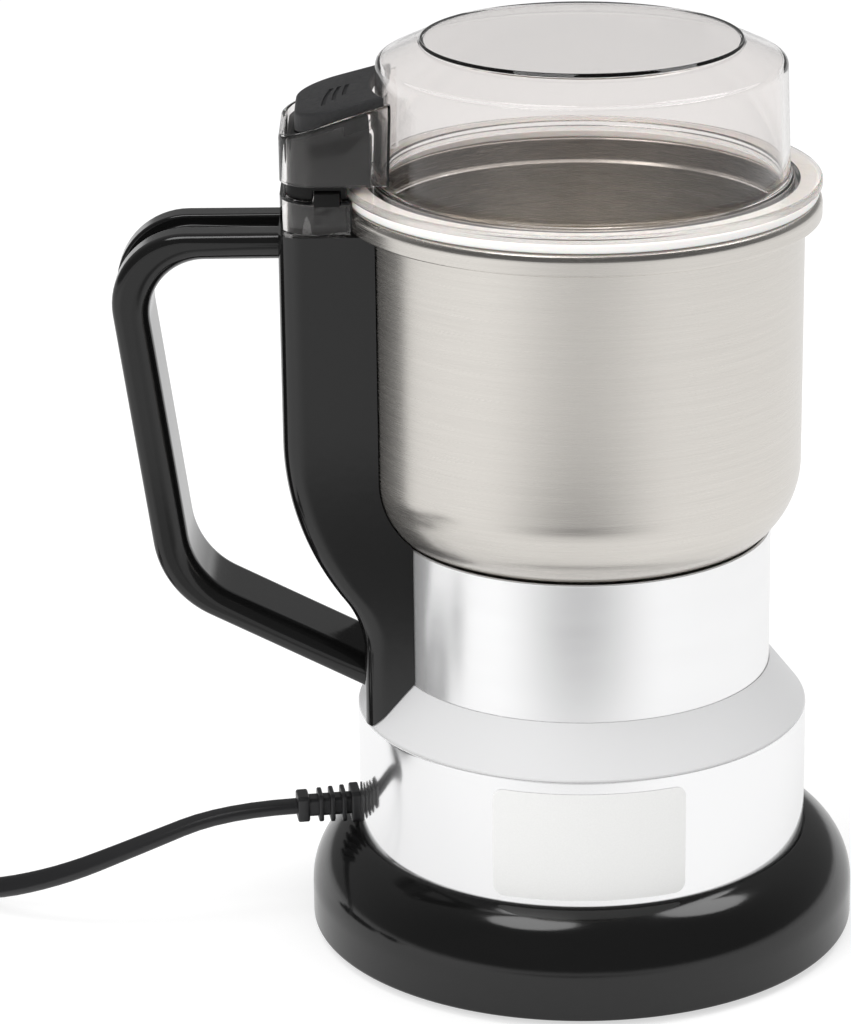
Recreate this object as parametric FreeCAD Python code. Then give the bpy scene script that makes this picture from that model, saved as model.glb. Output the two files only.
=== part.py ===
import FreeCAD, Part
import math
import os

V = FreeCAD.Vector
os.makedirs("parts", exist_ok=True)

# Electric grain mill, in millimetres. The origin is on the table under the middle of the base.
# The bowl's axis is +Z, and the handle stands out along -X.

# Clearances, and how far a cutting shape runs past what it cuts
fit_gap = 0.3
run_gap = 0.05
slide_gap = 0.25
past = 12.0

# Base
foot_proud = 1.5
foot_radius = 6.0
foot_inset = 13.6
foot_start = 22.5
foot_count = 4
foot_pocket = 1.0
skirt_radius = 63.6
skirt_straight = 8.0
skirt_round = 15.5
skirt_wall = 2.2
skirt_lip = 1.5
ledge_width = 4.0
floor_thickness = 2.4
floor_screw_inset = 8.6
floor_screw_start = 45.0
post_radius = 3.5
plate_screw_radius = 1.5
plate_screw_head = 2.9
plate_screw_head_height = 1.2
plate_screw_length = 9.0
tie_head_radius = 3.8
tie_head_height = 1.4
vent_length = 22.0
vent_width = 2.4
vent_pitch = 5.2
vent_count = 5

# Steel covers
sheet = 0.8
cover_radius = 52.2
cover_straight = 30.3
shoulder_rise = 11.1
sleeve_radius = 43.5
sleeve_tuck = 5.0

# Bowl
bowl_radius = 50.1
bowl_wall = 0.9
bowl_round = 21.0
bowl_seat_rise = 27.7
bowl_depth = 78.2
rim_overhang = 3.8
rim_height = 4.9
neck_radius = 8.0
neck_rise = 5.5

# Lid and its seal
seal_inset = 0.7
seal_height = 2.2
lid_flange = 1.9
lid_wall = 1.8
lid_step = 3.4
lid_draft = 0.9
lid_wall_height = 26.0
lid_crown_rise = 4.95
lid_disc_inset = 10.9
spigot_depth = 6.0
spigot_wall = 1.4
spigot_gap = 0.5

# Handle column beside the bowl, and the clear cap on it
column_half = 20.0
column_reach = 17.5
column_wall = 2.2
column_corner = 5.0
column_drop = 0.2
column_curve = 62.0
column_curve_start = 48.2
column_foot_curve = 20.1
column_foot_reach = 6.7
cap_inset = 1.7
cap_setback = 0.4
cap_corner = 8.0
cap_height = 7.8
cap_wall = 1.6
cap_roof = 1.2
tongue_rise = 1.6
tongue_reach = 5.5
tongue_width = 5.6

# Lid arm and the press pad on it
arm_gap = 3.2
arm_outer_height = 10.2
arm_slope = 0.333
arm_wall = 1.5
pad_inset = 1.9
pad_setback = 3.5
pad_corner = 13.0
pad_sink = 1.2
pad_slope = 0.263
pad_proud = 3.3
pad_travel = 2.5
pad_groove_width = 1.0
pad_groove_depth = 0.8
pad_groove_pitch = 2.3
pad_groove_count = 3
stem_radius = 2.5

# Handle
handle_half = 12.7
handle_top_drop = 1.2
handle_thickness_top = 6.3
handle_grip_lean = 0.134
handle_grip_thickness = 7.9
handle_reach = 28.5
handle_knee_rise = 31.0
handle_foot_rise = 7.5
handle_foot_thickness = 6.5
handle_round_top = 16.6
handle_round_knee = 22.9
handle_groove_half = 4.9
handle_groove_depth = 3.0
handle_edge_round = 2.2
handle_inner_round = 3.6
handle_foot_solid = 9.0
handle_slot = 0.7
handle_screw_radius = 1.2
handle_screw_length = 8.0
handle_screw_head = 2.8
handle_screw_head_height = 1.4

# Rod, springs and switch in the column
rod_reach = 3.6
rod_radius = 2.0
rod_head_radius = 3.5
rod_head_height = 2.5
rod_head_gap = 0.5
collar_radius = 3.6
collar_height = 2.0
rod_spring_wire = 0.6
rod_spring_radius = 3.0
rod_spring_turns = 6
rod_spring_length = 14.0
collar_below_top = 14.0
guide_thickness = 2.0
pad_spring_wire = 0.6
pad_spring_radius = 3.7
pad_spring_turns = 4
switch_length = 20.0
switch_height = 10.0
switch_thickness = 6.4
switch_below_guide = 6.4
lever_pivot_y = -8.0
lever_pivot_rise = 1.0
lever_length = 13.0
lever_thickness = 0.5
lever_width = 4.0
lever_tilt = 18.5
plunger_y = -4.5
plunger_radius = 1.1

# Motor
shaft_radius = 3.0
stator_gap = 1.5
stator_narrower = 4.0
stator_corner = 9.0
stator_yoke = 14.0
stator_slot = 5.0
coil_half = 12.5
coil_post_half = 5.5
coil_depth = 4.0
coil_overhang = 5.0
motor_screw_radius = 2.0
motor_screw_inset = 5.0
motor_screw_head = 3.4
stator_height = 24.0
air_gap = 0.6
armature_slots = 12
bearing_radius = 9.5
bearing_height = 6.0
commutator_radius = 10.0
commutator_height = 9.0
brush_width = 5.0
brush_height = 6.0
brush_length = 11.0
fan_gap = 2.5
fan_height = 7.0
fan_blades = 11
frame_thickness = 4.0
frame_boss_wall = 2.5
tie_inset = 6.5
tie_radius = 2.0
tie_reach = 22.0
stack_above_floor = 14.0
pillar_height = 6.0

# Blade in the bowl
blade_span = 41.0
blade_width = 13.0
blade_thickness = 1.5
blade_lift = 9.0
blade_tip_rise = 9.0
blade_nut_across = 10.0
blade_nut_height = 5.0

# Cord, strain relief and plug
cord_diameter = 5.0
relief_rise = 4.04
relief_length = 15.0
collar_block = 6.3
collar_block_length = 2.8
relief_core = 4.4
rib_count = 4
rib_first = 6.6
rib_last = 7.6
rib_thickness = 0.9
gland_radius = 3.2
coil_x = -196.0
coil_y = 8.0
coil_middle_radius = 27.6
coil_turns_each_layer = 3
coil_pitch = 5.6
layer_pitch = 5.6
plug_length = 34.0
plug_width = 34.0
plug_tail_width = 11.0
plug_thickness = 13.4
pin_radius = 2.0
pin_length = 19.0
pin_root = 8.0
pin_spacing = 18.6

# Label on the lower cover
label_angle = -90.0
label_span = 42.0
label_height = 25.8
label_corner = 2.5
label_film = 0.15
label_drop = 2.8

# Radii, reaches and heights that follow from the sizes above
rim_radius = bowl_radius + rim_overhang
seal_radius = rim_radius - seal_inset
lid_radius = bowl_radius - lid_step
lid_disc_radius = lid_radius - lid_disc_inset
spigot_radius = bowl_radius - bowl_wall - spigot_gap
column_face = bowl_radius + column_reach
column_inner = sleeve_radius / 2
column_foot_face = sleeve_radius + column_foot_reach
cap_face = column_face - cap_setback
cap_half = column_half - cap_inset
pad_face = cap_face - pad_setback
pad_half = cap_half - pad_inset
tongue_outer = rim_radius + tongue_reach
tongue_inner = tongue_outer - tongue_width
rod_x = rim_radius + rod_reach
handle_knee_x = column_face + handle_reach
foot_circle = skirt_radius - foot_inset
floor_screw_circle = skirt_radius - floor_screw_inset
tie_circle = sleeve_radius - tie_inset
pillar_radius = tie_radius + frame_boss_wall
stator_half_y = tie_circle - pillar_radius - stator_gap
stator_half_x = stator_half_y - stator_narrower
stator_bore = stator_half_y - stator_yoke
fan_radius = tie_circle - pillar_radius - fan_gap
skirt_bottom = foot_proud
round_centre = skirt_radius - skirt_round
round_z = skirt_bottom + skirt_straight
lip_radius = cover_radius + fit_gap
skirt_top = round_z + math.sqrt(skirt_round ** 2 - (lip_radius - round_centre) ** 2)
ledge_z = skirt_top - skirt_lip
cover_top = skirt_top + cover_straight
shoulder_top = cover_top + shoulder_rise
bowl_bottom = shoulder_top + bowl_seat_rise
bowl_floor = bowl_bottom + bowl_wall
rim_under = bowl_bottom + bowl_depth
rim_top = rim_under + rim_height
seal_top = rim_top + seal_height
flange_top = seal_top + lid_flange
lid_shoulder = flange_top + lid_wall_height
lid_top = lid_shoulder + lid_crown_rise
column_top = rim_under - column_drop
cap_top = column_top + cap_height
arm_bottom = cap_top + arm_gap
rod_top = cap_top - rod_head_gap - 0.3
handle_top = column_top - handle_top_drop
handle_knee_z = cover_top + handle_knee_rise
handle_foot_z = cover_top + handle_foot_rise
floor_top = skirt_bottom + floor_thickness
stack_bottom = floor_top + stack_above_floor + bearing_height + commutator_height
stack_top = stack_bottom + stator_height

NODES = {}
expected_solids = {"rubber_feet": 4, "plate_screws": 4, "field_coils": 2, "brush_holders": 2,
                   "carbon_brushes": 2, "motor_screws": 2, "tie_screws": 4,
                   "armature_windings": 2, "handle_screws": 2, "plug_pins": 2}


def keep(name, *solids):
    """Put one or more separate solids into a named node."""
    found = []
    for shape in solids:
        found.extend(shape.Solids)
    NODES[name] = found[0] if len(found) == 1 else Part.makeCompound(found)


def chain(start, *steps):
    """A closed wire in the XZ plane. A step is a point, or a pair: a point on an arc and its end."""
    edges = []
    here = V(start[0], 0, start[1])
    for step in steps + (start,):
        if isinstance(step[0], tuple):
            middle = V(step[0][0], 0, step[0][1])
            there = V(step[1][0], 0, step[1][1])
            edges.append(Part.Arc(here, middle, there).toShape())
        else:
            there = V(step[0], 0, step[1])
            if here.distanceToPoint(there) < 1e-7:
                continue
            edges.append(Part.LineSegment(here, there).toShape())
        here = there
    return Part.Wire(edges)


def turned(start, *steps):
    """A ring or disc turned about the Z axis from a half section."""
    return Part.Face(chain(start, *steps)).revolve(V(0, 0, 0), V(0, 0, 1), 360)


def slab(start, *steps, half=10.0):
    """A section in the XZ plane, as thick as twice half, centred on Y."""
    face = Part.Face(chain(start, *steps))
    face.translate(V(0, -half, 0))
    return face.extrude(V(0, 2 * half, 0))


def tube(outer, inner, bottom, top, x=0.0, y=0.0):
    ring = Part.makeCylinder(outer, top - bottom, V(x, y, bottom))
    if inner > 0:
        ring = ring.cut(Part.makeCylinder(inner, top - bottom, V(x, y, bottom)))
    return ring


def rod(radius, bottom, top, x=0.0, y=0.0):
    return Part.makeCylinder(radius, top - bottom, V(x, y, bottom))


def block(x0, x1, y0, y1, z0, z1):
    return Part.makeBox(x1 - x0, y1 - y0, z1 - z0, V(x0, y0, z0))


def rounded_plan(face, inner, half, corner, z0, z1):
    """A block on the handle side whose two outer upright corners are round."""
    shape = block(-face, -inner, -half, half, z0, z1)
    edges = []
    for edge in shape.Edges:
        points = [v.Point for v in edge.Vertexes]
        if abs(points[0].x + face) < 1e-6 and abs(points[1].x + face) < 1e-6:
            if abs(points[0].z - points[1].z) > 1e-6:
                edges.append(edge)
    return shape.makeFillet(corner, edges)


def around(count, start=0.0):
    return [start + 360.0 * i / count for i in range(count)]


def at_angle(radius, angle):
    turn = math.radians(angle)
    return radius * math.cos(turn), radius * math.sin(turn)


def arc_point(centre_r, centre_z, radius, angle):
    turn = math.radians(angle)
    return centre_r + radius * math.cos(turn), centre_z + radius * math.sin(turn)


def unit(v):
    return V(v).normalize()


def tangent_arc(start, direction, end):
    """The arc that leaves start along direction and reaches end."""
    chord = end - start
    along = unit(chord)
    side = direction - along * direction.dot(along)
    if side.Length < 1e-9:
        return Part.LineSegment(start, end).toShape()
    half_angle = direction.getAngle(along) / 2
    middle = (start + end) * 0.5 + unit(side) * (chord.Length / 2 * math.tan(half_angle))
    return Part.Arc(start, middle, end).toShape()


def biarc(p0, t0, p1, t1):
    """Two arcs, joined smoothly, between two points with set directions."""
    span = p1 - p0
    total = t0 + t1
    a = 2 * (1 - t0.dot(t1))
    b = span.dot(total)
    c = span.dot(span)
    if abs(a) < 1e-9:
        reach = c / (2 * b)
    else:
        reach = (-b + math.sqrt(b * b + a * c)) / a
    joint = (p0 + p1 + (t0 - t1) * reach) * 0.5
    first = tangent_arc(p0, t0, joint)
    joint_direction = unit(p1 - t1 * reach - (p0 + t0 * reach))
    return [first, tangent_arc(joint, joint_direction, p1)]


def swept(edges, radius, start, direction):
    """A round tube along a wire of smooth edges."""
    ring = Part.Wire([Part.makeCircle(radius, start, direction)])
    solid = Part.Wire(edges).makePipeShell([ring], True, False)
    return solid


def wound(points, directions, radius, straight):
    """A tube through points, with straight ends square to its first and last direction."""
    first = points[0] - directions[0] * straight
    last = points[-1] + directions[-1] * straight
    edges = [Part.LineSegment(first, points[0]).toShape()]
    for i in range(len(points) - 1):
        edges.extend(biarc(points[i], directions[i], points[i + 1], directions[i + 1]))
    edges.append(Part.LineSegment(points[-1], last).toShape())
    return swept(edges, radius, first, directions[0]), first, last, edges


def least_gap(edges, diameter, reach):
    """The least space between stretches of one tube that lie further apart than reach along it."""
    points = []
    run = 0.0
    for edge in edges:
        count = max(3, int(edge.Length / 1.5))
        for i in range(count):
            points.append((run + edge.Length * i / count, edge.valueAt(
                edge.FirstParameter + (edge.LastParameter - edge.FirstParameter) * i / count)))
        run += edge.Length
    least = 1e9
    for i in range(len(points)):
        for j in range(i + 1, len(points)):
            if points[j][0] - points[i][0] > reach:
                least = min(least, points[i][1].distanceToPoint(points[j][1]))
    return least - diameter


def coil_spring(x, y, bottom, length, radius, wire, turns):
    """A spring of round wire about an upright axis, as one tube of quarter turns."""
    points = []
    directions = []
    rise = (length - wire) / turns
    for i in range(4 * turns + 1):
        turn = math.radians(90 * i)
        points.append(V(x + radius * math.cos(turn), y + radius * math.sin(turn),
                        bottom + wire / 2 + rise * i / 4))
        directions.append(unit(V(-radius * math.sin(turn), radius * math.cos(turn),
                                 rise / (2 * math.pi))))
    edges = []
    for i in range(len(points) - 1):
        edges.extend(biarc(points[i], directions[i], points[i + 1], directions[i + 1]))
    return swept(edges, wire / 2, points[0], directions[0])


# Base skirt: a gloss moulding with a rounded top and a lip round the steel cover
def base_skirt():
    inner_round = skirt_round - skirt_wall
    under = ledge_z - skirt_wall
    inner_r = round_centre + math.sqrt(inner_round ** 2 - (under - round_z) ** 2)
    lip_angle = math.degrees(math.atan2(skirt_top - round_z, lip_radius - round_centre))
    inner_angle = math.degrees(math.atan2(under - round_z, inner_r - round_centre))
    ledge_r = cover_radius - sheet - ledge_width
    shape = turned(
        (skirt_radius, skirt_bottom),
        (skirt_radius, round_z),
        (arc_point(round_centre, round_z, skirt_round, lip_angle / 2), (lip_radius, skirt_top)),
        (lip_radius, ledge_z),
        (ledge_r, ledge_z),
        (ledge_r, under),
        (inner_r, under),
        (arc_point(round_centre, round_z, inner_round, inner_angle / 2),
         (skirt_radius - skirt_wall, round_z)),
        (skirt_radius - skirt_wall, skirt_bottom))
    posts = [rod(post_radius, floor_top, ledge_z - skirt_wall / 2, *at_angle(floor_screw_circle, a))
             for a in around(foot_count, floor_screw_start)]
    inside = turned(
        (ledge_r, skirt_bottom),
        (skirt_radius - skirt_wall / 2, skirt_bottom),
        (skirt_radius - skirt_wall / 2, round_z),
        (arc_point(round_centre, round_z, skirt_round - skirt_wall / 2, 45),
         (round_centre, round_z + skirt_round - skirt_wall / 2)),
        (ledge_r, round_z + skirt_round - skirt_wall / 2))
    shape = shape.fuse([post.common(inside) for post in posts])
    for angle in around(foot_count, floor_screw_start):
        x, y = at_angle(floor_screw_circle, angle)
        shape = shape.cut(rod(plate_screw_radius, floor_top, floor_top + plate_screw_length, x, y))
    return shape.removeSplitter()


keep("base_skirt", base_skirt())


# Bottom plate with vents, and the rubber feet in its pockets
def bottom_plate():
    radius = skirt_radius - skirt_wall - fit_gap
    plate = rod(radius, skirt_bottom, floor_top)
    for angle in around(foot_count, foot_start):
        x, y = at_angle(foot_circle, angle)
        plate = plate.cut(rod(foot_radius, skirt_bottom, skirt_bottom + foot_pocket, x, y))
    for angle in around(foot_count, floor_screw_start):
        x, y = at_angle(floor_screw_circle, angle)
        plate = plate.cut(rod(plate_screw_radius + slide_gap, skirt_bottom, floor_top, x, y))
        plate = plate.cut(rod(plate_screw_head + slide_gap, skirt_bottom,
                              skirt_bottom + plate_screw_head_height, x, y))
    first = -vent_pitch * (vent_count - 1) / 2
    for i in range(vent_count):
        y = first + vent_pitch * i
        plate = plate.cut(block(-vent_length / 2, vent_length / 2, y - vent_width / 2,
                                y + vent_width / 2, skirt_bottom, floor_top))
    for x, y in tie_places():
        plate = plate.cut(rod(tie_radius + slide_gap, skirt_bottom, floor_top, x, y))
        plate = plate.cut(rod(tie_head_radius + slide_gap, skirt_bottom,
                              skirt_bottom + tie_head_height, x, y))
        plate = plate.fuse(tube(pillar_radius, tie_radius + slide_gap,
                                floor_top, pillar_bottom(), x, y))
    return plate.removeSplitter()


def tie_places():
    return [at_angle(tie_circle, angle) for angle in around(4)]


def pillar_bottom():
    return floor_top + pillar_height


keep("bottom_plate", bottom_plate())
keep("rubber_feet", *[rod(foot_radius, 0, skirt_bottom + foot_pocket, *at_angle(foot_circle, a))
                      for a in around(foot_count, foot_start)])


def cap_screw(radius, head_radius, head_height, bottom, top, x, y):
    """A screw that points up, with a slot in its head."""
    screw = rod(radius, bottom, top, x, y).fuse(
        rod(head_radius, bottom, bottom + head_height, x, y))
    slot = block(x - head_radius, x + head_radius, y - 0.4, y + 0.4, bottom, bottom + 0.5)
    return screw.cut(slot)


keep("plate_screws", *[cap_screw(plate_screw_radius - run_gap, plate_screw_head,
                                 plate_screw_head_height, skirt_bottom,
                                 floor_top + plate_screw_length - 1,
                                 *at_angle(floor_screw_circle, a))
                       for a in around(foot_count, floor_screw_start)])


# Steel covers: the wide lower one with its sloped shoulder, and the narrow sleeve above it
def lower_cover():
    slope = math.atan2(shoulder_rise, cover_radius - sleeve_radius)
    shift = sheet * math.tan(slope / 2)
    hole_r = sleeve_radius + run_gap
    across = (cover_radius - hole_r) / (cover_radius - sleeve_radius)
    edge_z = cover_top + shoulder_rise * across
    down = sheet / math.cos(slope)
    shell = turned(
        (cover_radius, ledge_z),
        (cover_radius, cover_top),
        (hole_r, edge_z),
        (hole_r, edge_z - down),
        (cover_radius - sheet, cover_top - shift),
        (cover_radius - sheet, ledge_z))
    hole = Part.makeCylinder(gland_radius + slide_gap, 10,
                             V(-cover_radius - 5, 0, relief_z()), V(1, 0, 0))
    return shell.cut(hole)


def relief_z():
    return skirt_top + relief_rise


def bowl_round_height(radius):
    """Height of the bowl's outside at a radius on its rounded edge."""
    centre = bowl_radius - bowl_round
    return bowl_bottom + bowl_round - math.sqrt(bowl_round ** 2 - (radius - centre) ** 2)


sleeve_top = bowl_round_height(sleeve_radius - sheet) - fit_gap
sleeve_bottom = shoulder_top - sleeve_tuck

keep("lower_cover", lower_cover())
keep("upper_sleeve", tube(sleeve_radius, sleeve_radius - sheet, sleeve_bottom, sleeve_top))


# Bare label on the lower cover, on the side away from the handle's line
def label():
    inner = cover_radius
    top = cover_top - label_drop
    ring = tube(inner + label_film, inner, top - label_height, top)
    half = math.degrees(label_span / 2 / cover_radius)
    front = cover_radius + 3
    width = front * math.sin(math.radians(half))
    window = block(-width, width, -front, -cover_radius * math.cos(math.radians(half)) + 1,
                   top - label_height, top)
    corners = [e for e in window.Edges if abs(e.Vertexes[0].Point.y - e.Vertexes[1].Point.y) > 1]
    window = window.makeFillet(label_corner, corners)
    window.rotate(V(0, 0, 0), V(0, 0, 1), label_angle + 90)
    return ring.common(window)


keep("rating_label", label())


# Bowl: spun from sheet, with a flat floor, a large rounded edge and a turned-down rim
def bowl():
    centre = bowl_radius - bowl_round
    centre_z = bowl_bottom + bowl_round
    inner_round = bowl_round - bowl_wall
    hole = neck_radius + slide_gap
    shell = turned(
        (hole, bowl_bottom),
        (centre, bowl_bottom),
        (arc_point(centre, centre_z, bowl_round, -45), (bowl_radius, centre_z)),
        (bowl_radius, rim_top - bowl_wall),
        (rim_radius - bowl_wall, rim_top - bowl_wall),
        (rim_radius - bowl_wall, rim_under),
        (rim_radius, rim_under),
        (rim_radius, rim_top),
        (bowl_radius - bowl_wall, rim_top),
        (bowl_radius - bowl_wall, centre_z),
        (arc_point(centre, centre_z, inner_round, -45), (centre, bowl_floor)),
        (hole, bowl_floor))
    return shell


keep("bowl", bowl())


# Motor frames: the upper one carries the bowl on its neck, the lower one the brushes
upper_plate_top = bowl_bottom
upper_plate_bottom = bowl_bottom - frame_thickness
upper_bearing_top = upper_plate_bottom - 0.5 + 2.0
upper_bearing_bottom = upper_bearing_top - bearing_height
lower_bearing_bottom = floor_top + 7.0
lower_bearing_top = lower_bearing_bottom + bearing_height


def upper_frame():
    plate_r = bowl_radius - bowl_round - fit_gap
    rim_r = sleeve_radius - sheet - fit_gap
    shelf_top = sleeve_bottom
    disc = rod(plate_r, upper_plate_bottom, upper_plate_top)
    neck = rod(neck_radius, upper_plate_top, bowl_floor + neck_rise)
    boss = rod(bearing_radius + frame_boss_wall, upper_bearing_bottom, upper_plate_bottom)
    skirt_ring = tube(rim_r, rim_r - 2.5, shelf_top - 3, upper_plate_bottom)
    cover_plate = tube(rim_r, plate_r - 3, upper_plate_bottom - 2.5, upper_plate_bottom)
    shelf = tube(sleeve_radius - run_gap, rim_r - 2.5, shelf_top - 3, shelf_top)
    shape = disc.fuse([neck, boss, skirt_ring, cover_plate, shelf])
    for x, y in tie_places():
        shape = shape.fuse(rod(pillar_radius, pillar_bottom(), upper_plate_bottom, x, y))
        shape = shape.cut(rod(tie_radius + slide_gap, pillar_bottom(), upper_plate_bottom - 3, x, y))
    shape = shape.cut(rod(bearing_radius + run_gap, upper_bearing_bottom, upper_bearing_top))
    shape = shape.cut(rod(shaft_radius + 0.6, upper_bearing_bottom, bowl_floor + neck_rise))
    shape = shape.cut(rod(seal_outer_radius + run_gap, seal_seat_z(), bowl_floor + neck_rise))
    vents = []
    for angle in around(12, 15):
        vent = block(plate_r - 1.5, rim_r - 4.0, -2.5, 2.5, upper_plate_bottom - 4, upper_plate_bottom + 1)
        vent.rotate(V(0, 0, 0), V(0, 0, 1), angle)
        vents.append(vent)
    shape = shape.cut(Part.makeCompound(vents))
    return shape.removeSplitter()


seal_outer_radius = 5.6


def seal_seat_z():
    return bowl_floor + neck_rise - 3.5


keep("upper_motor_frame", upper_frame())
keep("shaft_seal", tube(seal_outer_radius, shaft_radius + run_gap, seal_seat_z(),
                        bowl_floor + neck_rise))
keep("bowl_nut", Part.Face(Part.makePolygon(
    [V(*at_angle(11.5, a), bowl_floor) for a in around(6)] + [V(*at_angle(11.5, 0), bowl_floor)]
)).extrude(V(0, 0, neck_rise - 1.2)).cut(rod(neck_radius + run_gap, bowl_floor,
                                            bowl_floor + neck_rise)))
keep("upper_bearing", tube(bearing_radius, shaft_radius + run_gap, upper_bearing_bottom,
                           upper_bearing_top))
keep("lower_bearing", tube(bearing_radius, shaft_radius + run_gap, lower_bearing_bottom,
                           lower_bearing_top))


def stack_outline(half_x, half_y, bottom, top):
    shape = block(-half_x, half_x, -half_y, half_y, bottom, top)
    upright = [e for e in shape.Edges
               if abs(e.Vertexes[0].Point.z - e.Vertexes[1].Point.z) > 1]
    return shape.makeFillet(stator_corner, upright)


stator_screw_y = stator_half_y - motor_screw_inset
slot_half = coil_half + 0.5
slot_near = stator_bore - stator_slot
slot_far = stator_bore + stator_slot
coil_near = stator_bore + 0.5
coil_far = coil_near + coil_depth


def stator():
    core = stack_outline(stator_half_x, stator_half_y, stack_bottom, stack_top)
    core = core.cut(rod(stator_bore, stack_bottom, stack_top))
    for side in (-1, 1):
        slot = block(-slot_half, slot_half, min(side * slot_near, side * slot_far),
                     max(side * slot_near, side * slot_far), stack_bottom, stack_top)
        core = core.cut(slot)
        core = core.cut(rod(motor_screw_radius + slide_gap, stack_bottom, stack_top, 0,
                            side * stator_screw_y))
    return core


def field_coil(side):
    low = min(side * coil_near, side * coil_far)
    high = max(side * coil_near, side * coil_far)
    outer = block(-coil_half, coil_half, low, high, stack_bottom - coil_overhang,
                  stack_top + coil_overhang)
    inner = block(-coil_post_half, coil_post_half, low, high, stack_bottom - 0.5, stack_top + 0.5)
    return outer.cut(inner).cut(rod(stator_bore, stack_bottom - past, stack_top + past))


keep("stator_stack", stator())
keep("field_coils", field_coil(-1), field_coil(1))


bar_half = 7.0
holder_far = commutator_radius + brush_length + 3.0
bar_top = lower_bearing_top + 1.5
bar_bottom = bar_top - frame_thickness


def lower_frame():
    boss_r = bearing_radius + frame_boss_wall
    boss = rod(boss_r, lower_bearing_bottom, bar_top)
    bar = block(-bar_half, bar_half, -stator_half_y, stator_half_y, bar_bottom, bar_top)
    shape = boss.fuse(bar)
    for side in (-1, 1):
        leg_near = side * (stator_half_y - motor_screw_inset - motor_screw_head)
        leg_far = side * stator_half_y
        leg = block(-bar_half, bar_half, min(leg_near, leg_far), max(leg_near, leg_far), bar_top,
                    stack_bottom)
        shape = shape.fuse(leg)
        shape = shape.cut(rod(motor_screw_radius + slide_gap, lower_bearing_bottom, stack_bottom, 0,
                              side * stator_screw_y))
    for side in (-1, 1):
        wing_near = side * (bearing_radius - 0.5)
        wing_far = side * holder_far
        wing = block(min(wing_near, wing_far), max(wing_near, wing_far), -6, 6, bar_bottom, bar_top)
        shape = shape.fuse(wing)
    shape = shape.cut(rod(bearing_radius + run_gap, lower_bearing_bottom, lower_bearing_top))
    shape = shape.cut(rod(shaft_radius + 0.6, lower_bearing_bottom - 1, bar_top + 1))
    return shape.removeSplitter()


brush_z = bar_top + 2.0


def brush(side):
    near = side * (commutator_radius + 0.1)
    far = side * (commutator_radius + 0.1 + brush_length)
    piece = block(min(near, far), max(near, far), -brush_width / 2, brush_width / 2,
                  brush_z, brush_z + brush_height)
    return piece.cut(rod(commutator_radius + 0.1, brush_z - 1, brush_z + brush_height + 1))


def brush_holder(side):
    near = side * (commutator_radius + 2.0)
    far = side * holder_far
    wall = 1.2
    outer = block(min(near, far), max(near, far), -brush_width / 2 - wall - slide_gap,
                  brush_width / 2 + wall + slide_gap, brush_z - 2.0,
                  brush_z + brush_height + wall + slide_gap)
    inner_far = far - side * wall
    inner = block(min(near, inner_far), max(near, inner_far), -brush_width / 2 - slide_gap,
                  brush_width / 2 + slide_gap, brush_z - slide_gap,
                  brush_z + brush_height + slide_gap)
    return outer.cut(inner)


keep("lower_motor_frame", lower_frame())
keep("brush_holders", brush_holder(-1), brush_holder(1))
keep("carbon_brushes", brush(-1), brush(1))
keep("motor_screws", *[cap_screw(motor_screw_radius, motor_screw_head, 2.0, bar_bottom - 2.0,
                                 stack_top + 1.5, 0, side * stator_screw_y) for side in (-1, 1)])
keep("tie_screws", *[cap_screw(tie_radius, tie_head_radius, tie_head_height, skirt_bottom,
                               pillar_bottom() + tie_reach, x, y) for x, y in tie_places()])


# Turning parts of the motor
def armature():
    radius = stator_bore - air_gap
    core = rod(radius, stack_bottom, stack_top)
    cuts = []
    for angle in around(armature_slots):
        x, y = at_angle(radius - 3.2, angle)
        cuts.append(rod(1.7, stack_bottom, stack_top, x, y))
        mouth = block(radius - 3.2, radius + 1, -0.5, 0.5, stack_bottom, stack_top)
        mouth.rotate(V(0, 0, 0), V(0, 0, 1), angle)
        cuts.append(mouth)
    core = core.cut(Part.makeCompound(cuts))
    return core.cut(rod(shaft_radius + run_gap, stack_bottom, stack_top))


def end_winding(bottom, top):
    return turned((shaft_radius + 1.0, bottom), (stator_bore - 4.5, bottom),
                  (stator_bore - 3.0, bottom + 1.5), (stator_bore - 3.0, top - 1.5),
                  (stator_bore - 4.5, top), (shaft_radius + 1.0, top))


fan_bottom = stack_top + coil_overhang + 2.0


def fan():
    hub = tube(7.0, shaft_radius + run_gap, fan_bottom, fan_bottom + fan_height)
    disc = tube(fan_radius, shaft_radius + run_gap, fan_bottom, fan_bottom + 1.2)
    vanes = []
    for angle in around(fan_blades):
        vane = block(6.5, fan_radius, -0.7, 0.7, fan_bottom + 0.6, fan_bottom + fan_height)
        vane.rotate(V(0, 0, 0), V(0, 0, 1), angle)
        vanes.append(vane)
    disc_cut = rod(fan_radius, fan_bottom, fan_bottom + fan_height)
    wheel = hub.fuse([disc] + vanes).common(disc_cut)
    return wheel.cut(rod(shaft_radius + run_gap, fan_bottom, fan_bottom + fan_height)).removeSplitter()


commutator_bottom = brush_z - 1.5
commutator_top = commutator_bottom + commutator_height
shaft_bottom = lower_bearing_bottom + 0.4
blade_z = bowl_floor + blade_lift
shaft_top = blade_z + blade_thickness + blade_nut_height + 1.0


def commutator():
    drum = tube(commutator_radius, shaft_radius + run_gap, commutator_bottom, commutator_top)
    cuts = []
    for angle in around(armature_slots * 2):
        gap = block(commutator_radius - 1.0, commutator_radius + 1, -0.25, 0.25,
                    commutator_bottom, commutator_top)
        gap.rotate(V(0, 0, 0), V(0, 0, 1), angle)
        cuts.append(gap)
    return drum.cut(Part.makeCompound(cuts))


keep("motor_shaft", rod(shaft_radius, shaft_bottom, shaft_top)
     .fuse(tube(shaft_radius + 1.2, 0, blade_z - 1.5, blade_z)))
keep("armature_core", armature())
keep("armature_windings", end_winding(commutator_top + 0.3, stack_bottom),
     end_winding(stack_top, stack_top + coil_overhang))
keep("commutator", commutator())
keep("cooling_fan", fan())


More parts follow.
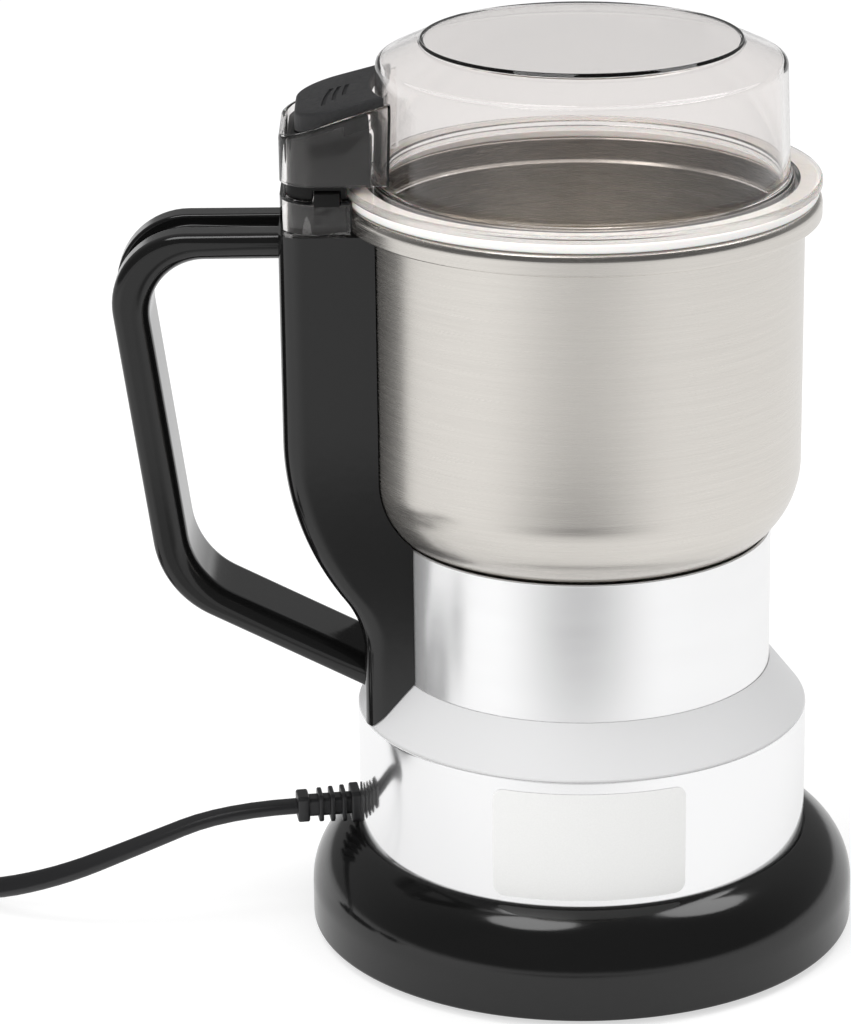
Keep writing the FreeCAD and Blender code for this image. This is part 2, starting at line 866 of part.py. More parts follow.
# Blade: two swept arms that rise to their tips
def blade():
    half = blade_span
    flat = block(-10, 10, -blade_width / 2, blade_width / 2, blade_z, blade_z + blade_thickness)
    shape = flat
    for side in (1, -1):
        rise = blade_tip_rise
        wire = chain((9.5, blade_z), (half, blade_z + rise), (half, blade_z + rise + blade_thickness),
                     (9.5, blade_z + blade_thickness))
        arm = Part.Face(wire)
        arm.translate(V(0, -blade_width / 2, 0))
        arm = arm.extrude(V(0, blade_width, 0))
        point = Part.Face(Part.makePolygon([
            V(8, -blade_width / 2, 0), V(half - 12, -blade_width / 2, 0), V(half, blade_width / 6, 0),
            V(half - 3, blade_width / 2, 0), V(8, blade_width / 2, 0), V(8, -blade_width / 2, 0)
        ])).extrude(V(0, 0, bowl_bottom + bowl_depth))
        arm = arm.common(point)
        if side < 0:
            arm.rotate(V(0, 0, 0), V(0, 0, 1), 180)
        shape = shape.fuse(arm)
    return shape.cut(rod(shaft_radius + run_gap, blade_z - 1, blade_z + blade_tip_rise)).removeSplitter()


def blade_nut():
    corner = blade_nut_across / math.sqrt(3)
    points = [V(*at_angle(corner, a), blade_z + blade_thickness) for a in around(6)]
    hexagon = Part.Face(Part.makePolygon(points + [points[0]])).extrude(V(0, 0, blade_nut_height))
    dome = rod(blade_nut_across / 2 - 0.4, blade_z + blade_thickness + blade_nut_height,
               shaft_top + 1.2)
    nut = hexagon.fuse(dome)
    return nut.cut(rod(shaft_radius + run_gap, blade_z, shaft_top + run_gap)).removeSplitter()


keep("blade", blade())
keep("blade_nut", blade_nut())


# Clear lid: a flanged dome with an arm box at the handle side, one moulding


def arm_top_z(x):
    """Height of the arm's sloped top at a distance x out from the bowl's axis."""
    return arm_bottom + arm_outer_height + arm_slope * (cap_face - x)


def wedge(face, inner, height_at, floor_z, half):
    """A slab below a sloped top on the handle side."""
    return slab((-face, floor_z), (-face, height_at(face)), (-inner, height_at(inner)),
                (-inner, floor_z), half=half)


def clear_lid():
    shoulder_r = lid_radius - lid_draft
    steep = lid_wall * 0.8
    dome = turned(
        (spigot_radius - spigot_wall, rim_top - spigot_depth),
        (spigot_radius, rim_top - spigot_depth),
        (spigot_radius, seal_top),
        (rim_radius, seal_top),
        (rim_radius, flange_top),
        (lid_radius, flange_top),
        (shoulder_r, lid_shoulder - 1.0),
        ((shoulder_r - 0.35, lid_shoulder - 0.25), (shoulder_r - 1.2, lid_shoulder + 0.2)),
        (lid_disc_radius + 0.8, lid_top - 0.35),
        (lid_disc_radius, lid_top),
        (0, lid_top),
        (0, lid_top - lid_wall),
        (lid_disc_radius - 0.6, lid_top - lid_wall),
        (shoulder_r - lid_wall - 0.6, lid_shoulder - steep),
        (shoulder_r - lid_wall, lid_shoulder - steep - 1.0),
        (lid_radius - lid_wall, seal_top),
        (spigot_radius - spigot_wall, seal_top))
    outer = rounded_plan(cap_face, 0, cap_half, cap_corner, arm_bottom, lid_top)
    outer = outer.common(wedge(cap_face + 1, 0, arm_top_z, arm_bottom, cap_half + 1))
    inner = rounded_plan(cap_face - arm_wall, 0, cap_half - arm_wall, cap_corner - arm_wall,
                         arm_bottom - 1, lid_top)
    inner = inner.common(wedge(cap_face + 1, 0, lambda x: arm_top_z(x) - arm_wall, arm_bottom - 2,
                               cap_half + 1))
    window = rounded_plan(pad_face + slide_gap, 0, pad_half + slide_gap, pad_corner, arm_bottom,
                          lid_top)
    arm = outer.cut(inner).cut(window)
    arm = arm.cut(rod(lid_radius - lid_wall / 2, arm_bottom - 2, lid_top + 2))
    lid = dome.fuse(arm)
    return lid.removeSplitter()


keep("clear_lid", clear_lid())
keep("lid_seal", tube(seal_radius, spigot_radius + run_gap, rim_top, seal_top))

# Insert in the lid's arm: guides the pad's stem and stands round the cap's tongue
insert_bottom = cap_top + fit_gap
spring_seat_z = arm_bottom + 3.0


def arm_insert():
    room = arm_wall + slide_gap
    body = rounded_plan(cap_face - room, lid_radius + fit_gap, cap_half - room, cap_corner - room,
                        arm_bottom, lid_top)
    body = body.common(wedge(cap_face, 0, lambda x: arm_top_z(x) - room, arm_bottom - 1, cap_half))
    foot = rounded_plan(cap_face - cap_wall, rim_radius - 1.5, cap_half - 1.0, cap_corner - 2.0,
                        insert_bottom, arm_bottom)
    foot = foot.cut(rod(rim_radius + fit_gap, insert_bottom - 1, arm_bottom))
    notch = block(-tongue_outer - fit_gap, -tongue_inner + fit_gap, -cap_half, cap_half,
                  insert_bottom - 1, cap_top + tongue_rise + 2 * fit_gap)
    body = body.fuse(foot.cut(notch))
    body = body.cut(rod(lid_radius + fit_gap, arm_bottom - 5, lid_top))
    body = body.cut(rod(stem_radius + slide_gap, insert_bottom - 1, lid_top, -rod_x))
    body = body.cut(rod(pad_spring_radius + pad_spring_wire, spring_seat_z, lid_top, -rod_x))
    pocket = rounded_plan(pad_face + slide_gap, 0, pad_half + slide_gap, pad_corner, arm_bottom,
                          lid_top + 5)
    deep = pad_travel + fit_gap
    pocket = pocket.common(slab((-cap_face, pad_under(cap_face) - deep), (-cap_face, lid_top + 5),
                                (0, lid_top + 5), (0, pad_under(0) - deep), half=cap_half))
    return body.cut(pocket).removeSplitter()


def pad_top(x):
    """Height of the pad's sloped face at a distance x out from the bowl's axis."""
    return arm_top_z(pad_face) + pad_proud + pad_slope * (pad_face - x)


def pad_under(x):
    """The pad's underside follows the arm's sloped top, sunk into its opening."""
    return arm_top_z(x) - pad_sink


def pad():
    body = rounded_plan(pad_face, 0, pad_half, pad_corner, arm_bottom, lid_top + past)
    inner = lid_radius / 2
    body = body.common(slab((-pad_face, pad_under(pad_face)), (-pad_face, pad_top(pad_face)),
                            (-inner, pad_top(inner)), (-inner, pad_under(inner)), half=cap_half))
    body = body.cut(rod(lid_radius + 0.8, arm_bottom, lid_top + past))
    middle = (pad_face + lid_radius) / 2
    for i in range(pad_groove_count):
        out = middle + pad_groove_pitch * (i - (pad_groove_count - 1) / 2)
        radius = 14.0
        ring = tube(radius, radius - pad_groove_width, pad_top(out) - pad_groove_depth - 0.2,
                    lid_top + past, -out + radius)
        lane = block(-out - 2, -out + 6, -6.0, 6.0, arm_bottom, lid_top + past)
        body = body.cut(ring.common(lane))
    stem = rod(stem_radius, rod_top + rod_head_gap, pad_under(rod_x) + 1.0, -rod_x)
    return body.fuse(stem).removeSplitter()


keep("arm_insert", arm_insert())
keep("press_pad", pad())
pad_spring_room = pad_under(rod_x + pad_spring_radius) - spring_seat_z
keep("pad_spring", coil_spring(-rod_x, 0, spring_seat_z + 0.1, pad_spring_room - 0.4,
                               pad_spring_radius - 0.2, pad_spring_wire, pad_spring_turns))


# Column beside the bowl: a hollow moulding that follows the bowl, the sleeve and the shoulder
def column_outline(inset):
    """Side view of the column's outer face, moved inwards by inset, as arcs and lines."""
    turn = column_turn()
    start_z = column_top - column_curve_start
    centre_x = -column_face + column_curve
    big = column_curve - inset
    knee = (centre_x - big * math.cos(turn), start_z - big * math.sin(turn))
    small = column_foot_curve + inset
    foot_x = -column_foot_face + inset
    foot_z = knee[1] - small * math.sin(turn)
    bend = (foot_x - small * (1 - math.cos(turn / 2)), foot_z + small * math.sin(turn / 2))
    return start_z, big, centre_x, knee, bend, (foot_x, foot_z)


def column_turn():
    """How far both of the column's curves turn, so that they bring its face in over its foot."""
    step = (column_face - column_foot_face) / (column_curve + column_foot_curve)
    return math.acos(1 - step)


def column_body(inset, half, corner, top, bottom):
    start_z, big, centre_x, knee, bend, foot = column_outline(inset)
    half_turn = column_turn() / 2
    mid = (centre_x - big * math.cos(half_turn), start_z - big * math.sin(half_turn))
    shape = slab((-column_inner, bottom), (-column_inner, top), (-column_face + inset, top),
                 (-column_face + inset, start_z), (mid, knee), (bend, foot),
                 (foot[0], bottom), half=half)
    if corner > 0:
        edges = []
        for edge in shape.Edges:
            y0 = edge.BoundBox.YMin
            if edge.BoundBox.YLength < 1e-6 and abs(abs(y0) - half) < 1e-6:
                middle = edge.valueAt((edge.FirstParameter + edge.LastParameter) / 2)
                flat_end = edge.BoundBox.ZLength < 1e-6
                inner_end = abs(middle.x + column_inner) < 1e-6
                if not flat_end and not inner_end:
                    edges.append(edge)
        shape = shape.makeFillet(corner, edges)
    return shape


def body_of_bowl(gap):
    """The space of the bowl, sleeve and covers that the column keeps clear of."""
    centre = bowl_radius - bowl_round
    centre_z = bowl_bottom + bowl_round
    grown = bowl_round + gap
    meet = centre_z - math.sqrt(grown ** 2 - (sleeve_radius + gap - centre) ** 2)
    turn = math.degrees(math.atan2(meet - centre_z, sleeve_radius + gap - centre))
    slope = math.atan2(shoulder_rise, cover_radius - sleeve_radius)
    rise = gap / math.cos(slope)
    return turned(
        (0, cover_top - past),
        (cover_radius + past, cover_top - past),
        (cover_radius + past, cover_top + rise),
        (cover_radius, cover_top + rise),
        (sleeve_radius + gap, shoulder_top + rise - gap * math.tan(slope)),
        (sleeve_radius + gap, meet),
        (arc_point(centre, centre_z, grown, turn / 2), (bowl_radius + gap, centre_z)),
        (bowl_radius + gap, column_top + 5),
        (0, column_top + 5))


guide_z = column_top - collar_below_top - collar_height - rod_spring_length - guide_thickness
switch_top = guide_z - switch_below_guide
switch_bottom = switch_top - switch_height


def handle_column():
    outer = column_body(0, column_half, column_corner, column_top, cover_top - 5)
    cavity = column_body(column_wall, column_half - column_wall, 0, column_top - column_wall,
                         cover_top - 6)
    keep_ribs = [
        block(-column_face, -column_inner, -column_half, column_half, guide_z, guide_z + guide_thickness),
        block(-column_face, -column_inner, -column_half, column_half, switch_bottom - 2.2, switch_bottom),
    ]
    cavity = cavity.cut(Part.makeCompound(keep_ribs))
    shell = outer.cut(cavity)
    shell = shell.cut(body_of_bowl(fit_gap))
    shell = shell.cut(rod(rod_radius + slide_gap, guide_z - 1, guide_z + guide_thickness + 1, -rod_x))
    shell = shell.cut(rod(rod_radius + slide_gap, column_top - column_wall - 1, column_top + 1, -rod_x))
    return shell.removeSplitter()


keep("handle_column", handle_column())


# Cap on the column: a clear cover over a dark socket whose tongue locates the lid's arm
def column_cap():
    outer = rounded_plan(cap_face, column_inner, cap_half, cap_corner, column_top, cap_top)
    inner = rounded_plan(cap_face - cap_wall, 0, cap_half - cap_wall, cap_corner - cap_wall,
                         column_top - 1, cap_top)
    shape = outer.cut(inner)
    roof = rounded_plan(cap_face, column_inner, cap_half, cap_corner, cap_top - cap_roof, cap_top)
    shape = shape.fuse(roof)
    shape = shape.cut(block(-tongue_outer - slide_gap, -tongue_inner + slide_gap,
                            -cap_half - 1, cap_half + 1, cap_top - cap_roof, cap_top + 1))
    shape = shape.cut(rod(rod_head_radius + slide_gap, column_top + 2.5, cap_top + 1, -rod_x))
    shape = shape.cut(rod(rim_radius + fit_gap, column_top - 1, cap_top + 1))
    return shape.removeSplitter()


def cap_core():
    room = cap_wall + slide_gap
    body = rounded_plan(cap_face - room, column_inner, cap_half - room, cap_corner - room, column_top,
                        cap_top - cap_roof - slide_gap)
    body = body.cut(rod(rim_radius + fit_gap + 1.0, column_top - 1, cap_top + 1))
    roof = cap_top - cap_roof
    tongue = block(-tongue_outer, -tongue_inner, -cap_half, cap_half, roof, cap_top + tongue_rise)
    neck = block(-tongue_outer, -tongue_inner, room - cap_half, cap_half - room, roof - 1, roof)
    rim_space = rod(rim_radius + fit_gap, column_top, cap_top + 5)
    body = body.fuse([tongue.cut(rim_space), neck.cut(rim_space)])
    socket_floor = rod_top - rod_head_height - pad_travel - fit_gap
    body = body.cut(rod(rod_head_radius + slide_gap, socket_floor, cap_top + 5, -rod_x))
    body = body.cut(rod(rod_radius + slide_gap, column_top - 1, socket_floor + 1, -rod_x))
    return body.removeSplitter()


keep("column_cap", column_cap())
keep("cap_socket", cap_core())

# Push rod, its spring and the switch that it works
collar_top = column_top - collar_below_top
collar_bottom = collar_top - collar_height
lever_rise = math.tan(math.radians(lever_tilt))
pivot_z = switch_top + lever_pivot_rise
lever_under_rod = pivot_z + lever_rise * (0 - lever_pivot_y) + lever_thickness
rod_bottom = lever_under_rod + 0.9
keep("push_rod", rod(rod_radius, rod_bottom, rod_top, -rod_x)
     .fuse(rod(rod_head_radius, rod_top - rod_head_height, rod_top, -rod_x))
     .fuse(rod(collar_radius, collar_bottom, collar_top, -rod_x)).removeSplitter())
keep("rod_spring", coil_spring(-rod_x, 0, guide_z + guide_thickness + 0.1,
                               collar_bottom - guide_z - guide_thickness - 0.3,
                               rod_spring_radius, rod_spring_wire, rod_spring_turns))


def switch_case():
    case = block(-rod_x - switch_thickness / 2, -rod_x + switch_thickness / 2, -switch_length / 2,
                 switch_length / 2, switch_bottom, switch_top)
    for y in (-4.75, 4.75):
        hole = Part.makeCylinder(1.2, switch_thickness + 2,
                                 V(-rod_x - switch_thickness / 2 - 1, y, switch_bottom + 3), V(1, 0, 0))
        case = case.cut(hole)
    case = case.cut(rod(plunger_radius + run_gap, switch_top - 3.5, switch_top + 1, -rod_x, plunger_y))
    ears = []
    for side in (-1, 1):
        x = -rod_x + side * (switch_thickness / 2 - 0.6)
        ears.append(block(x - 0.5, x + 0.5, lever_pivot_y - 1.2, lever_pivot_y + 1.2,
                          switch_top, pivot_z + 1.2))
    case = case.fuse(ears)
    pin_hole = Part.makeCylinder(0.45, switch_thickness + 2,
                                 V(-rod_x - switch_thickness / 2 - 1, lever_pivot_y, pivot_z), V(1, 0, 0))
    return case.cut(pin_hole).removeSplitter()


def switch_lever():
    lever = block(-rod_x - lever_width / 2, -rod_x + lever_width / 2, 0, lever_length,
                  -lever_thickness / 2, lever_thickness / 2)
    lever.rotate(V(0, 0, 0), V(1, 0, 0), lever_tilt)
    lever.translate(V(0, lever_pivot_y, pivot_z))
    pin = Part.makeCylinder(0.4, switch_thickness, V(-rod_x - switch_thickness / 2, lever_pivot_y,
                                                     pivot_z), V(1, 0, 0))
    return lever.fuse(pin).removeSplitter()


lever_under_plunger = (pivot_z + lever_rise * (plunger_y - plunger_radius - lever_pivot_y)
                       - lever_thickness)
keep("switch_case", switch_case())
keep("switch_lever", switch_lever())
keep("switch_plunger", rod(plunger_radius, switch_top - 1.9, lever_under_plunger - 0.1, -rod_x,
                           plunger_y))


# Handle: a loop with a groove along its outer side, between two rails
def crossing(first, second):
    """Where two lines of a point and a direction cross."""
    (ax, az), (adx, adz) = first
    (bx, bz), (bdx, bdz) = second
    cross = adx * bdz - adz * bdx
    t = ((bx - ax) * bdz - (bz - az) * bdx) / cross
    return ax + adx * t, az + adz * t


def moved_line(line, distance):
    """A line moved to its left by distance."""
    (x, z), (dx, dz) = line
    size = math.hypot(dx, dz)
    return (x - dz / size * distance, z + dx / size * distance), (dx, dz)


def round_corner(before, corner, after, radius):
    """Start, middle and end of the arc that rounds a corner."""
    a = V(before[0] - corner[0], 0, before[1] - corner[1]).normalize()
    b = V(after[0] - corner[0], 0, after[1] - corner[1]).normalize()
    half = a.getAngle(b) / 2
    reach = radius / math.tan(half)
    c = V(corner[0], 0, corner[1])
    start = c + a * reach
    end = c + b * reach
    centre = c + (a + b).normalize() * (radius / math.sin(half))
    middle = centre - (a + b).normalize() * radius
    return (start.x, start.z), (middle.x, middle.z), (end.x, end.z)


def handle_lines(top_in, grip_in, foot_in):
    """The three straight runs of the loop's outer side, each moved inwards."""
    top = moved_line(((-column_face, handle_top), (-1, 0)), top_in)
    grip = ((-handle_knee_x - handle_grip_lean * (handle_top - handle_knee_z),
             handle_top), (handle_grip_lean, -1))
    grip = moved_line(grip, grip_in)
    knee = (-handle_knee_x, handle_knee_z)
    foot = moved_line((knee, (handle_knee_x - column_foot_face, handle_foot_z - handle_knee_z)),
                      foot_in)
    return top, grip, foot


def handle_side(top_in, grip_in, foot_in, top_round, knee_round):
    """Points and arcs along one side of the loop, from the column's top to its foot."""
    top, grip, foot = handle_lines(top_in, grip_in, foot_in)
    first = crossing(top, ((-column_face + 8, 0), (0, 1)))
    last = crossing(foot, ((-column_foot_face + 3, 0), (0, 1)))
    corner = crossing(top, grip)
    knee = crossing(grip, foot)
    a0, a1, a2 = round_corner(first, corner, knee, top_round)
    b0, b1, b2 = round_corner(corner, knee, last, knee_round)
    return first, a0, a1, a2, b0, b1, b2, last


def handle_band(outer_in, inner_in, half):
    """The loop between two depths measured from its outer side."""
    o = handle_side(*outer_in)
    i = handle_side(*inner_in)
    return slab(o[0], o[1], (o[2], o[3]), o[4], (o[5], o[6]), o[7],
                i[7], i[6], (i[5], i[4]), i[3], (i[2], i[1]), i[0], half=half)


def inside_behind(inside):
    """A skin just behind the loop's inner side."""
    return inside[0] + 1, inside[1] + 1, inside[2] + 1, inside[3] - 1, inside[4] - 1


def matching_edges(shape, wanted):
    """The edges of a shape whose middles lie where those of the wanted edges do."""
    found = []
    for old in wanted:
        middle = old.valueAt((old.FirstParameter + old.LastParameter) / 2)
        for edge in shape.Edges:
            spot = edge.valueAt((edge.FirstParameter + edge.LastParameter) / 2)
            if (spot - middle).Length < 0.05:
                found.append(edge)
    return found


def handle():
    outside = (0, 0, 0, handle_round_top, handle_round_knee)
    inside = (handle_thickness_top, handle_grip_thickness, handle_foot_thickness,
              handle_round_top - 4.0, handle_round_knee - 4.0)
    groove_in = handle_groove_depth
    groove = (groove_in, groove_in, groove_in, handle_round_top - groove_in,
              handle_round_knee - groove_in)
    band = handle_band(outside, inside, handle_half)
    inner_side = handle_band(inside, inside_behind(inside), handle_half + 1)
    outer_edges = []
    inner_edges = []
    for edge in band.Edges:
        if edge.BoundBox.YLength < 1e-6:
            middle = edge.valueAt((edge.FirstParameter + edge.LastParameter) / 2)
            steep_end = edge.BoundBox.XLength < 1e-6
            if not steep_end and middle.x < -column_foot_face + 3 - 1e-6:
                on_inside = inner_side.distToShape(Part.Vertex(middle))[0] < 1e-4
                (inner_edges if on_inside else outer_edges).append(edge)
    band = band.makeFillet(handle_edge_round, outer_edges)
    band = band.makeFillet(handle_inner_round, matching_edges(band, inner_edges))
    above = (-3, -3, -3, handle_round_top + 3, handle_round_knee + 3)
    channel = handle_band(above, groove, handle_groove_half)
    channel = channel.cut(block(-column_foot_face - handle_foot_solid, 0, -handle_half, handle_half,
                                cover_top - past, handle_knee_z))
    band = band.cut(channel)
    column = column_body(0, column_half + 1, 0, column_top + 10, cover_top - 10)
    return band.cut(column).removeSplitter()


keep("handle", handle())


# Handle screws: through the column's outer wall into the handle's ends
def handle_screw(z, face):
    head_x = -face + column_wall
    shaft = Part.makeCylinder(handle_screw_radius, handle_screw_length, V(head_x, 0, z), V(-1, 0, 0))
    head = Part.makeCylinder(handle_screw_head, handle_screw_head_height, V(head_x, 0, z), V(1, 0, 0))
    slot = block(head_x + handle_screw_head_height / 2, head_x + past, -handle_slot / 2, handle_slot / 2,
                 z - handle_screw_head, z + handle_screw_head)
    return shaft.fuse(head).cut(slot)


handle_screw_top_z = handle_top - (handle_groove_depth + handle_thickness_top) / 2
handle_screw_foot_z = handle_foot_z + handle_foot_thickness * 0.8
screws = [handle_screw(handle_screw_top_z, column_face),
          handle_screw(handle_screw_foot_z, column_foot_face)]
for screw in screws:
    NODES["handle_column"] = NODES["handle_column"].cut(screw)
    NODES["handle"] = NODES["handle"].cut(screw)
keep("handle_screws", *screws)


# Strain relief: a square collar, ribs on a slim core, and a neck through the cover
def strain_relief():
    z = relief_z()
    wall_x = -cover_radius
    outer_x = wall_x - relief_length
    half = collar_block / 2
    body = block(outer_x, outer_x + collar_block_length, -half, half, z - half, z + half)
    core = relief_core / 2
    body = body.fuse(block(outer_x, wall_x - fit_gap, -core, core, z - core, z + core))
    first = outer_x + collar_block_length
    last = wall_x - 1.6
    for i in range(rib_count):
        share = (i + 1) / rib_count
        size = (rib_first + (rib_last - rib_first) * i / (rib_count - 1)) / 2
        x = first + (last - first) * share
        rib = block(x - rib_thickness / 2, x + rib_thickness / 2, -size, size, z - size, z + size)
        edges = [e for e in rib.Edges if e.BoundBox.XLength > rib_thickness / 2]
        body = body.fuse(rib.makeFillet(1.0, edges))
    neck = Part.makeCylinder(gland_radius - 0.05, 6.0, V(wall_x - fit_gap - 1.0, 0, z), V(1, 0, 0))
    body = body.fuse(neck)
    flange = Part.makeCylinder(gland_radius + 1.6, 2.0, V(wall_x + 2.4, 0, z), V(1, 0, 0))
    body = body.fuse(flange)
    return body.removeSplitter()


keep("strain_relief", strain_relief())
relief_end_x = -cover_radius - relief_length


# Cord: from the relief down to the table, into a put-away coil, and out to its plug
coil_first_radius = coil_middle_radius + coil_pitch * coil_turns_each_layer / 2
climb_quarters = 2
quarters_in = 4 * coil_turns_each_layer
quarters_all = 2 * quarters_in + climb_quarters


def coil_points():
    """Quarter-turn points of a coil that spirals in on the table and out again one layer up."""
    points = []
    directions = []
    for i in range(quarters_all):
        if i <= quarters_in:
            radius = coil_first_radius - coil_pitch * i / 4
            slope = -coil_pitch / 4
            height = cord_diameter / 2
            lift = 0.0
        elif i < quarters_in + climb_quarters:
            radius = coil_first_radius - coil_pitch * (quarters_in + 0.5) / 4
            slope = 0.0
            height = (cord_diameter + layer_pitch) / 2
            lift = layer_pitch * 0.75
        else:
            radius = coil_first_radius - coil_pitch * (quarters_all - i) / 4
            slope = coil_pitch / 4
            height = cord_diameter / 2 + layer_pitch
            lift = 0.0
        turn = math.radians(90 + 90 * i)
        out = V(math.cos(turn), math.sin(turn), 0)
        along = V(-math.sin(turn), math.cos(turn), 0)
        points.append(V(coil_x, coil_y, height) + out * radius)
        directions.append(unit(along * (radius * math.pi / 2) + out * slope + V(0, 0, lift)))
    directions[0] = V(-1, 0, 0)
    directions[-1] = V(0, -1, 0)
    return points, directions


coil_places, coil_directions = coil_points()
coil_solid, coil_first, coil_last, coil_edges = wound(coil_places, coil_directions,
                                                      cord_diameter / 2, cord_diameter)
coil_length = sum(e.Length for e in coil_edges)
past_turn = 2 * coil_middle_radius
print("coil volume", round(coil_solid.Volume), "section times length",
      round(math.pi * (cord_diameter / 2) ** 2 * coil_length))
print("coil length", round(coil_length, 1),
      "least gap", round(least_gap(coil_edges, cord_diameter, past_turn), 2))


def routed(points, radius, name):
    """A tube of straight runs joined by arcs as large as the runs allow."""
    edges = []
    radii = []
    here = points[0]
    for i in range(1, len(points) - 1):
        corner = points[i]
        back = points[i - 1] - corner
        on = points[i + 1] - corner
        turn = math.pi - back.getAngle(on)
        reach = 0.45 * min(back.Length, on.Length)
        radii.append(round(reach / math.tan(turn / 2), 1))
        start = corner + unit(back) * reach
        end = corner + unit(on) * reach
        edges.append(Part.LineSegment(here, start).toShape())
        edges.append(tangent_arc(start, unit(corner - start), end))
        here = end
    edges.append(Part.LineSegment(here, points[-1]).toShape())
    solid = swept(edges, radius, points[0], unit(points[1] - points[0]))
    length = sum(e.Length for e in edges)
    print(name, "length", round(length, 1), "radii", radii, "volume", round(solid.Volume),
          "section times length", round(math.pi * radius * radius * length))
    return solid


lead_points = [
    V(relief_end_x, 0, relief_z()),
    V(-84, 0, relief_z()),
    V(-104, -0.5, 22.6),
    V(-124, 0, 14.5),
    V(-145, 6, 3.6),
    V(-155, 24, 2.5),
    V(-169, coil_first.y, 2.5),
    coil_first,
]
tail_points = [
    coil_last,
    V(coil_last.x, -9, coil_last.z),
    V(-233, -21.5, 6.7),
    V(-233, -34, 6.7),
]
keep("cord_lead", routed(lead_points, cord_diameter / 2, "cord lead"))
keep("cord_coil", coil_solid)
keep("cord_tail", routed(tail_points, cord_diameter / 2, "cord tail"))


# Plug: a flat two-pin moulding that lies on the table
plug_x = tail_points[-1].x
plug_y = tail_points[-1].y
plug_z = tail_points[-1].z


def plug_body():
    half = plug_width / 2
    tail_half = plug_tail_width / 2
    face_y = plug_y - plug_length
    plan = Part.Face(Part.makePolygon([
        V(plug_x - tail_half, plug_y, 0), V(plug_x - tail_half, plug_y - 7, 0),
        V(plug_x - half, face_y + 12, 0), V(plug_x - half, face_y, 0),
        V(plug_x + half, face_y, 0), V(plug_x + half, face_y + 12, 0),
        V(plug_x + tail_half, plug_y - 7, 0), V(plug_x + tail_half, plug_y, 0),
        V(plug_x - tail_half, plug_y, 0)]))
    body = plan.extrude(V(0, 0, plug_thickness))
    body.translate(V(0, 0, plug_z - plug_thickness / 2))
    side = Part.Face(Part.makePolygon([
        V(0, plug_y, plug_z - 4.2), V(0, plug_y - 7, plug_z - 4.8),
        V(0, face_y + 14, plug_z - plug_thickness / 2), V(0, face_y, plug_z - plug_thickness / 2),
        V(0, face_y, plug_z + plug_thickness / 2), V(0, face_y + 14, plug_z + plug_thickness / 2),
        V(0, plug_y - 7, plug_z + 4.8), V(0, plug_y, plug_z + 4.2), V(0, plug_y, plug_z - 4.2)]))
    side.translate(V(plug_x - half - 1, 0, 0))
    body = body.common(side.extrude(V(plug_width + 2, 0, 0)))
    for pin_x in pin_places():
        body = body.cut(pin(pin_x))
    return body


def pin_places():
    return [plug_x - pin_spacing / 2, plug_x + pin_spacing / 2]


def pin(x):
    face_y = plug_y - plug_length
    shaft = Part.makeCylinder(pin_radius, pin_length + pin_root, V(x, face_y + pin_root, plug_z),
                              V(0, -1, 0))
    end = [e for e in shaft.Edges if e.BoundBox.YMax < face_y - pin_length + 0.01]
    return shaft.makeFillet(pin_radius * 0.6, end)


keep("plug_body", plug_body())
keep("plug_pins", *[pin(x) for x in pin_places()])

for name, shape in NODES.items():
    solids = shape.Solids
    if not shape.isValid() or not solids:
        print("check", name, shape.isValid(), len(solids))
    shape.exportStep("parts/" + name + ".step")
    if len(solids) != expected_solids.get(name, 1):
        print("solids", name, len(solids))
print("nodes", len(NODES))
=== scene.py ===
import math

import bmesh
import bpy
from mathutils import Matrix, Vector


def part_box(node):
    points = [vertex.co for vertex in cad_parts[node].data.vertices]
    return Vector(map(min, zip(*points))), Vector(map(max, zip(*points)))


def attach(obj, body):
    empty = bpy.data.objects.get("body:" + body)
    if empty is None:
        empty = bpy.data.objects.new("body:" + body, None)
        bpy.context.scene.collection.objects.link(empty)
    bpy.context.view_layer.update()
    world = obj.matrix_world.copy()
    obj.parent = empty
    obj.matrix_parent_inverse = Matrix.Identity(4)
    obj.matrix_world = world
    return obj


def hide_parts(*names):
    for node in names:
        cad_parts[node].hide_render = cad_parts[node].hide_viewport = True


bl_info = {
    "name": "Electric grain mill",
    "version": (1, 0, 0),
    "blender": (4, 5, 0),
    "location": "View3D > Sidebar > Grain mill",
    "description": "Dresses the frame of an electric grain mill with its visible pieces and finishes",
    "category": "Object",
}

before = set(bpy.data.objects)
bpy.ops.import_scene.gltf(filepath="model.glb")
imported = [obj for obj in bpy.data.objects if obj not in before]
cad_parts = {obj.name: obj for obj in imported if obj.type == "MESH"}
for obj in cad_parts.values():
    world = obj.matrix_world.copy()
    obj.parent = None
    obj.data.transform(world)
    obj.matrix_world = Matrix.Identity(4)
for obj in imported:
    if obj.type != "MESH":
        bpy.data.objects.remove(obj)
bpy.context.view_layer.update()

MM = 0.001
TURN_STEPS = 192


# Places and sizes read from the frame, in millimetres
def low(node):
    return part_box(node)[0] / MM


def high(node):
    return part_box(node)[1] / MM


def radius_of(node):
    return high(node).x


def top_of(node):
    return high(node).z


def bottom_of(node):
    return low(node).z


# Sizes and colours that a user may change
def length(text, about, value):
    return bpy.props.FloatProperty(name=text, description=about, default=value, min=0.0, unit="LENGTH")


def tint(text, about, value):
    return bpy.props.FloatVectorProperty(name=text, description=about, default=value, size=3,
                                         min=0.0, max=1.0, subtype="COLOR")


class MillSizes(bpy.types.PropertyGroup):
    """Roundings and walls of the mill's visible pieces."""

    sheet: length("Sheet", "Thickness of the steel covers", 0.8 * MM)
    bowl_wall: length("Bowl wall", "Thickness of the bowl", 0.9 * MM)
    lid_wall: length("Lid wall", "Thickness of the clear lid", 1.6 * MM)
    handle_edge: length("Handle edge", "Rounding along the handle's rails", 2.2 * MM)
    cord_width: length("Cord width", "Width of the flat mains cord", 5.0 * MM)
    cord_thickness: length("Cord thickness", "Thickness of the flat mains cord", 3.0 * MM)


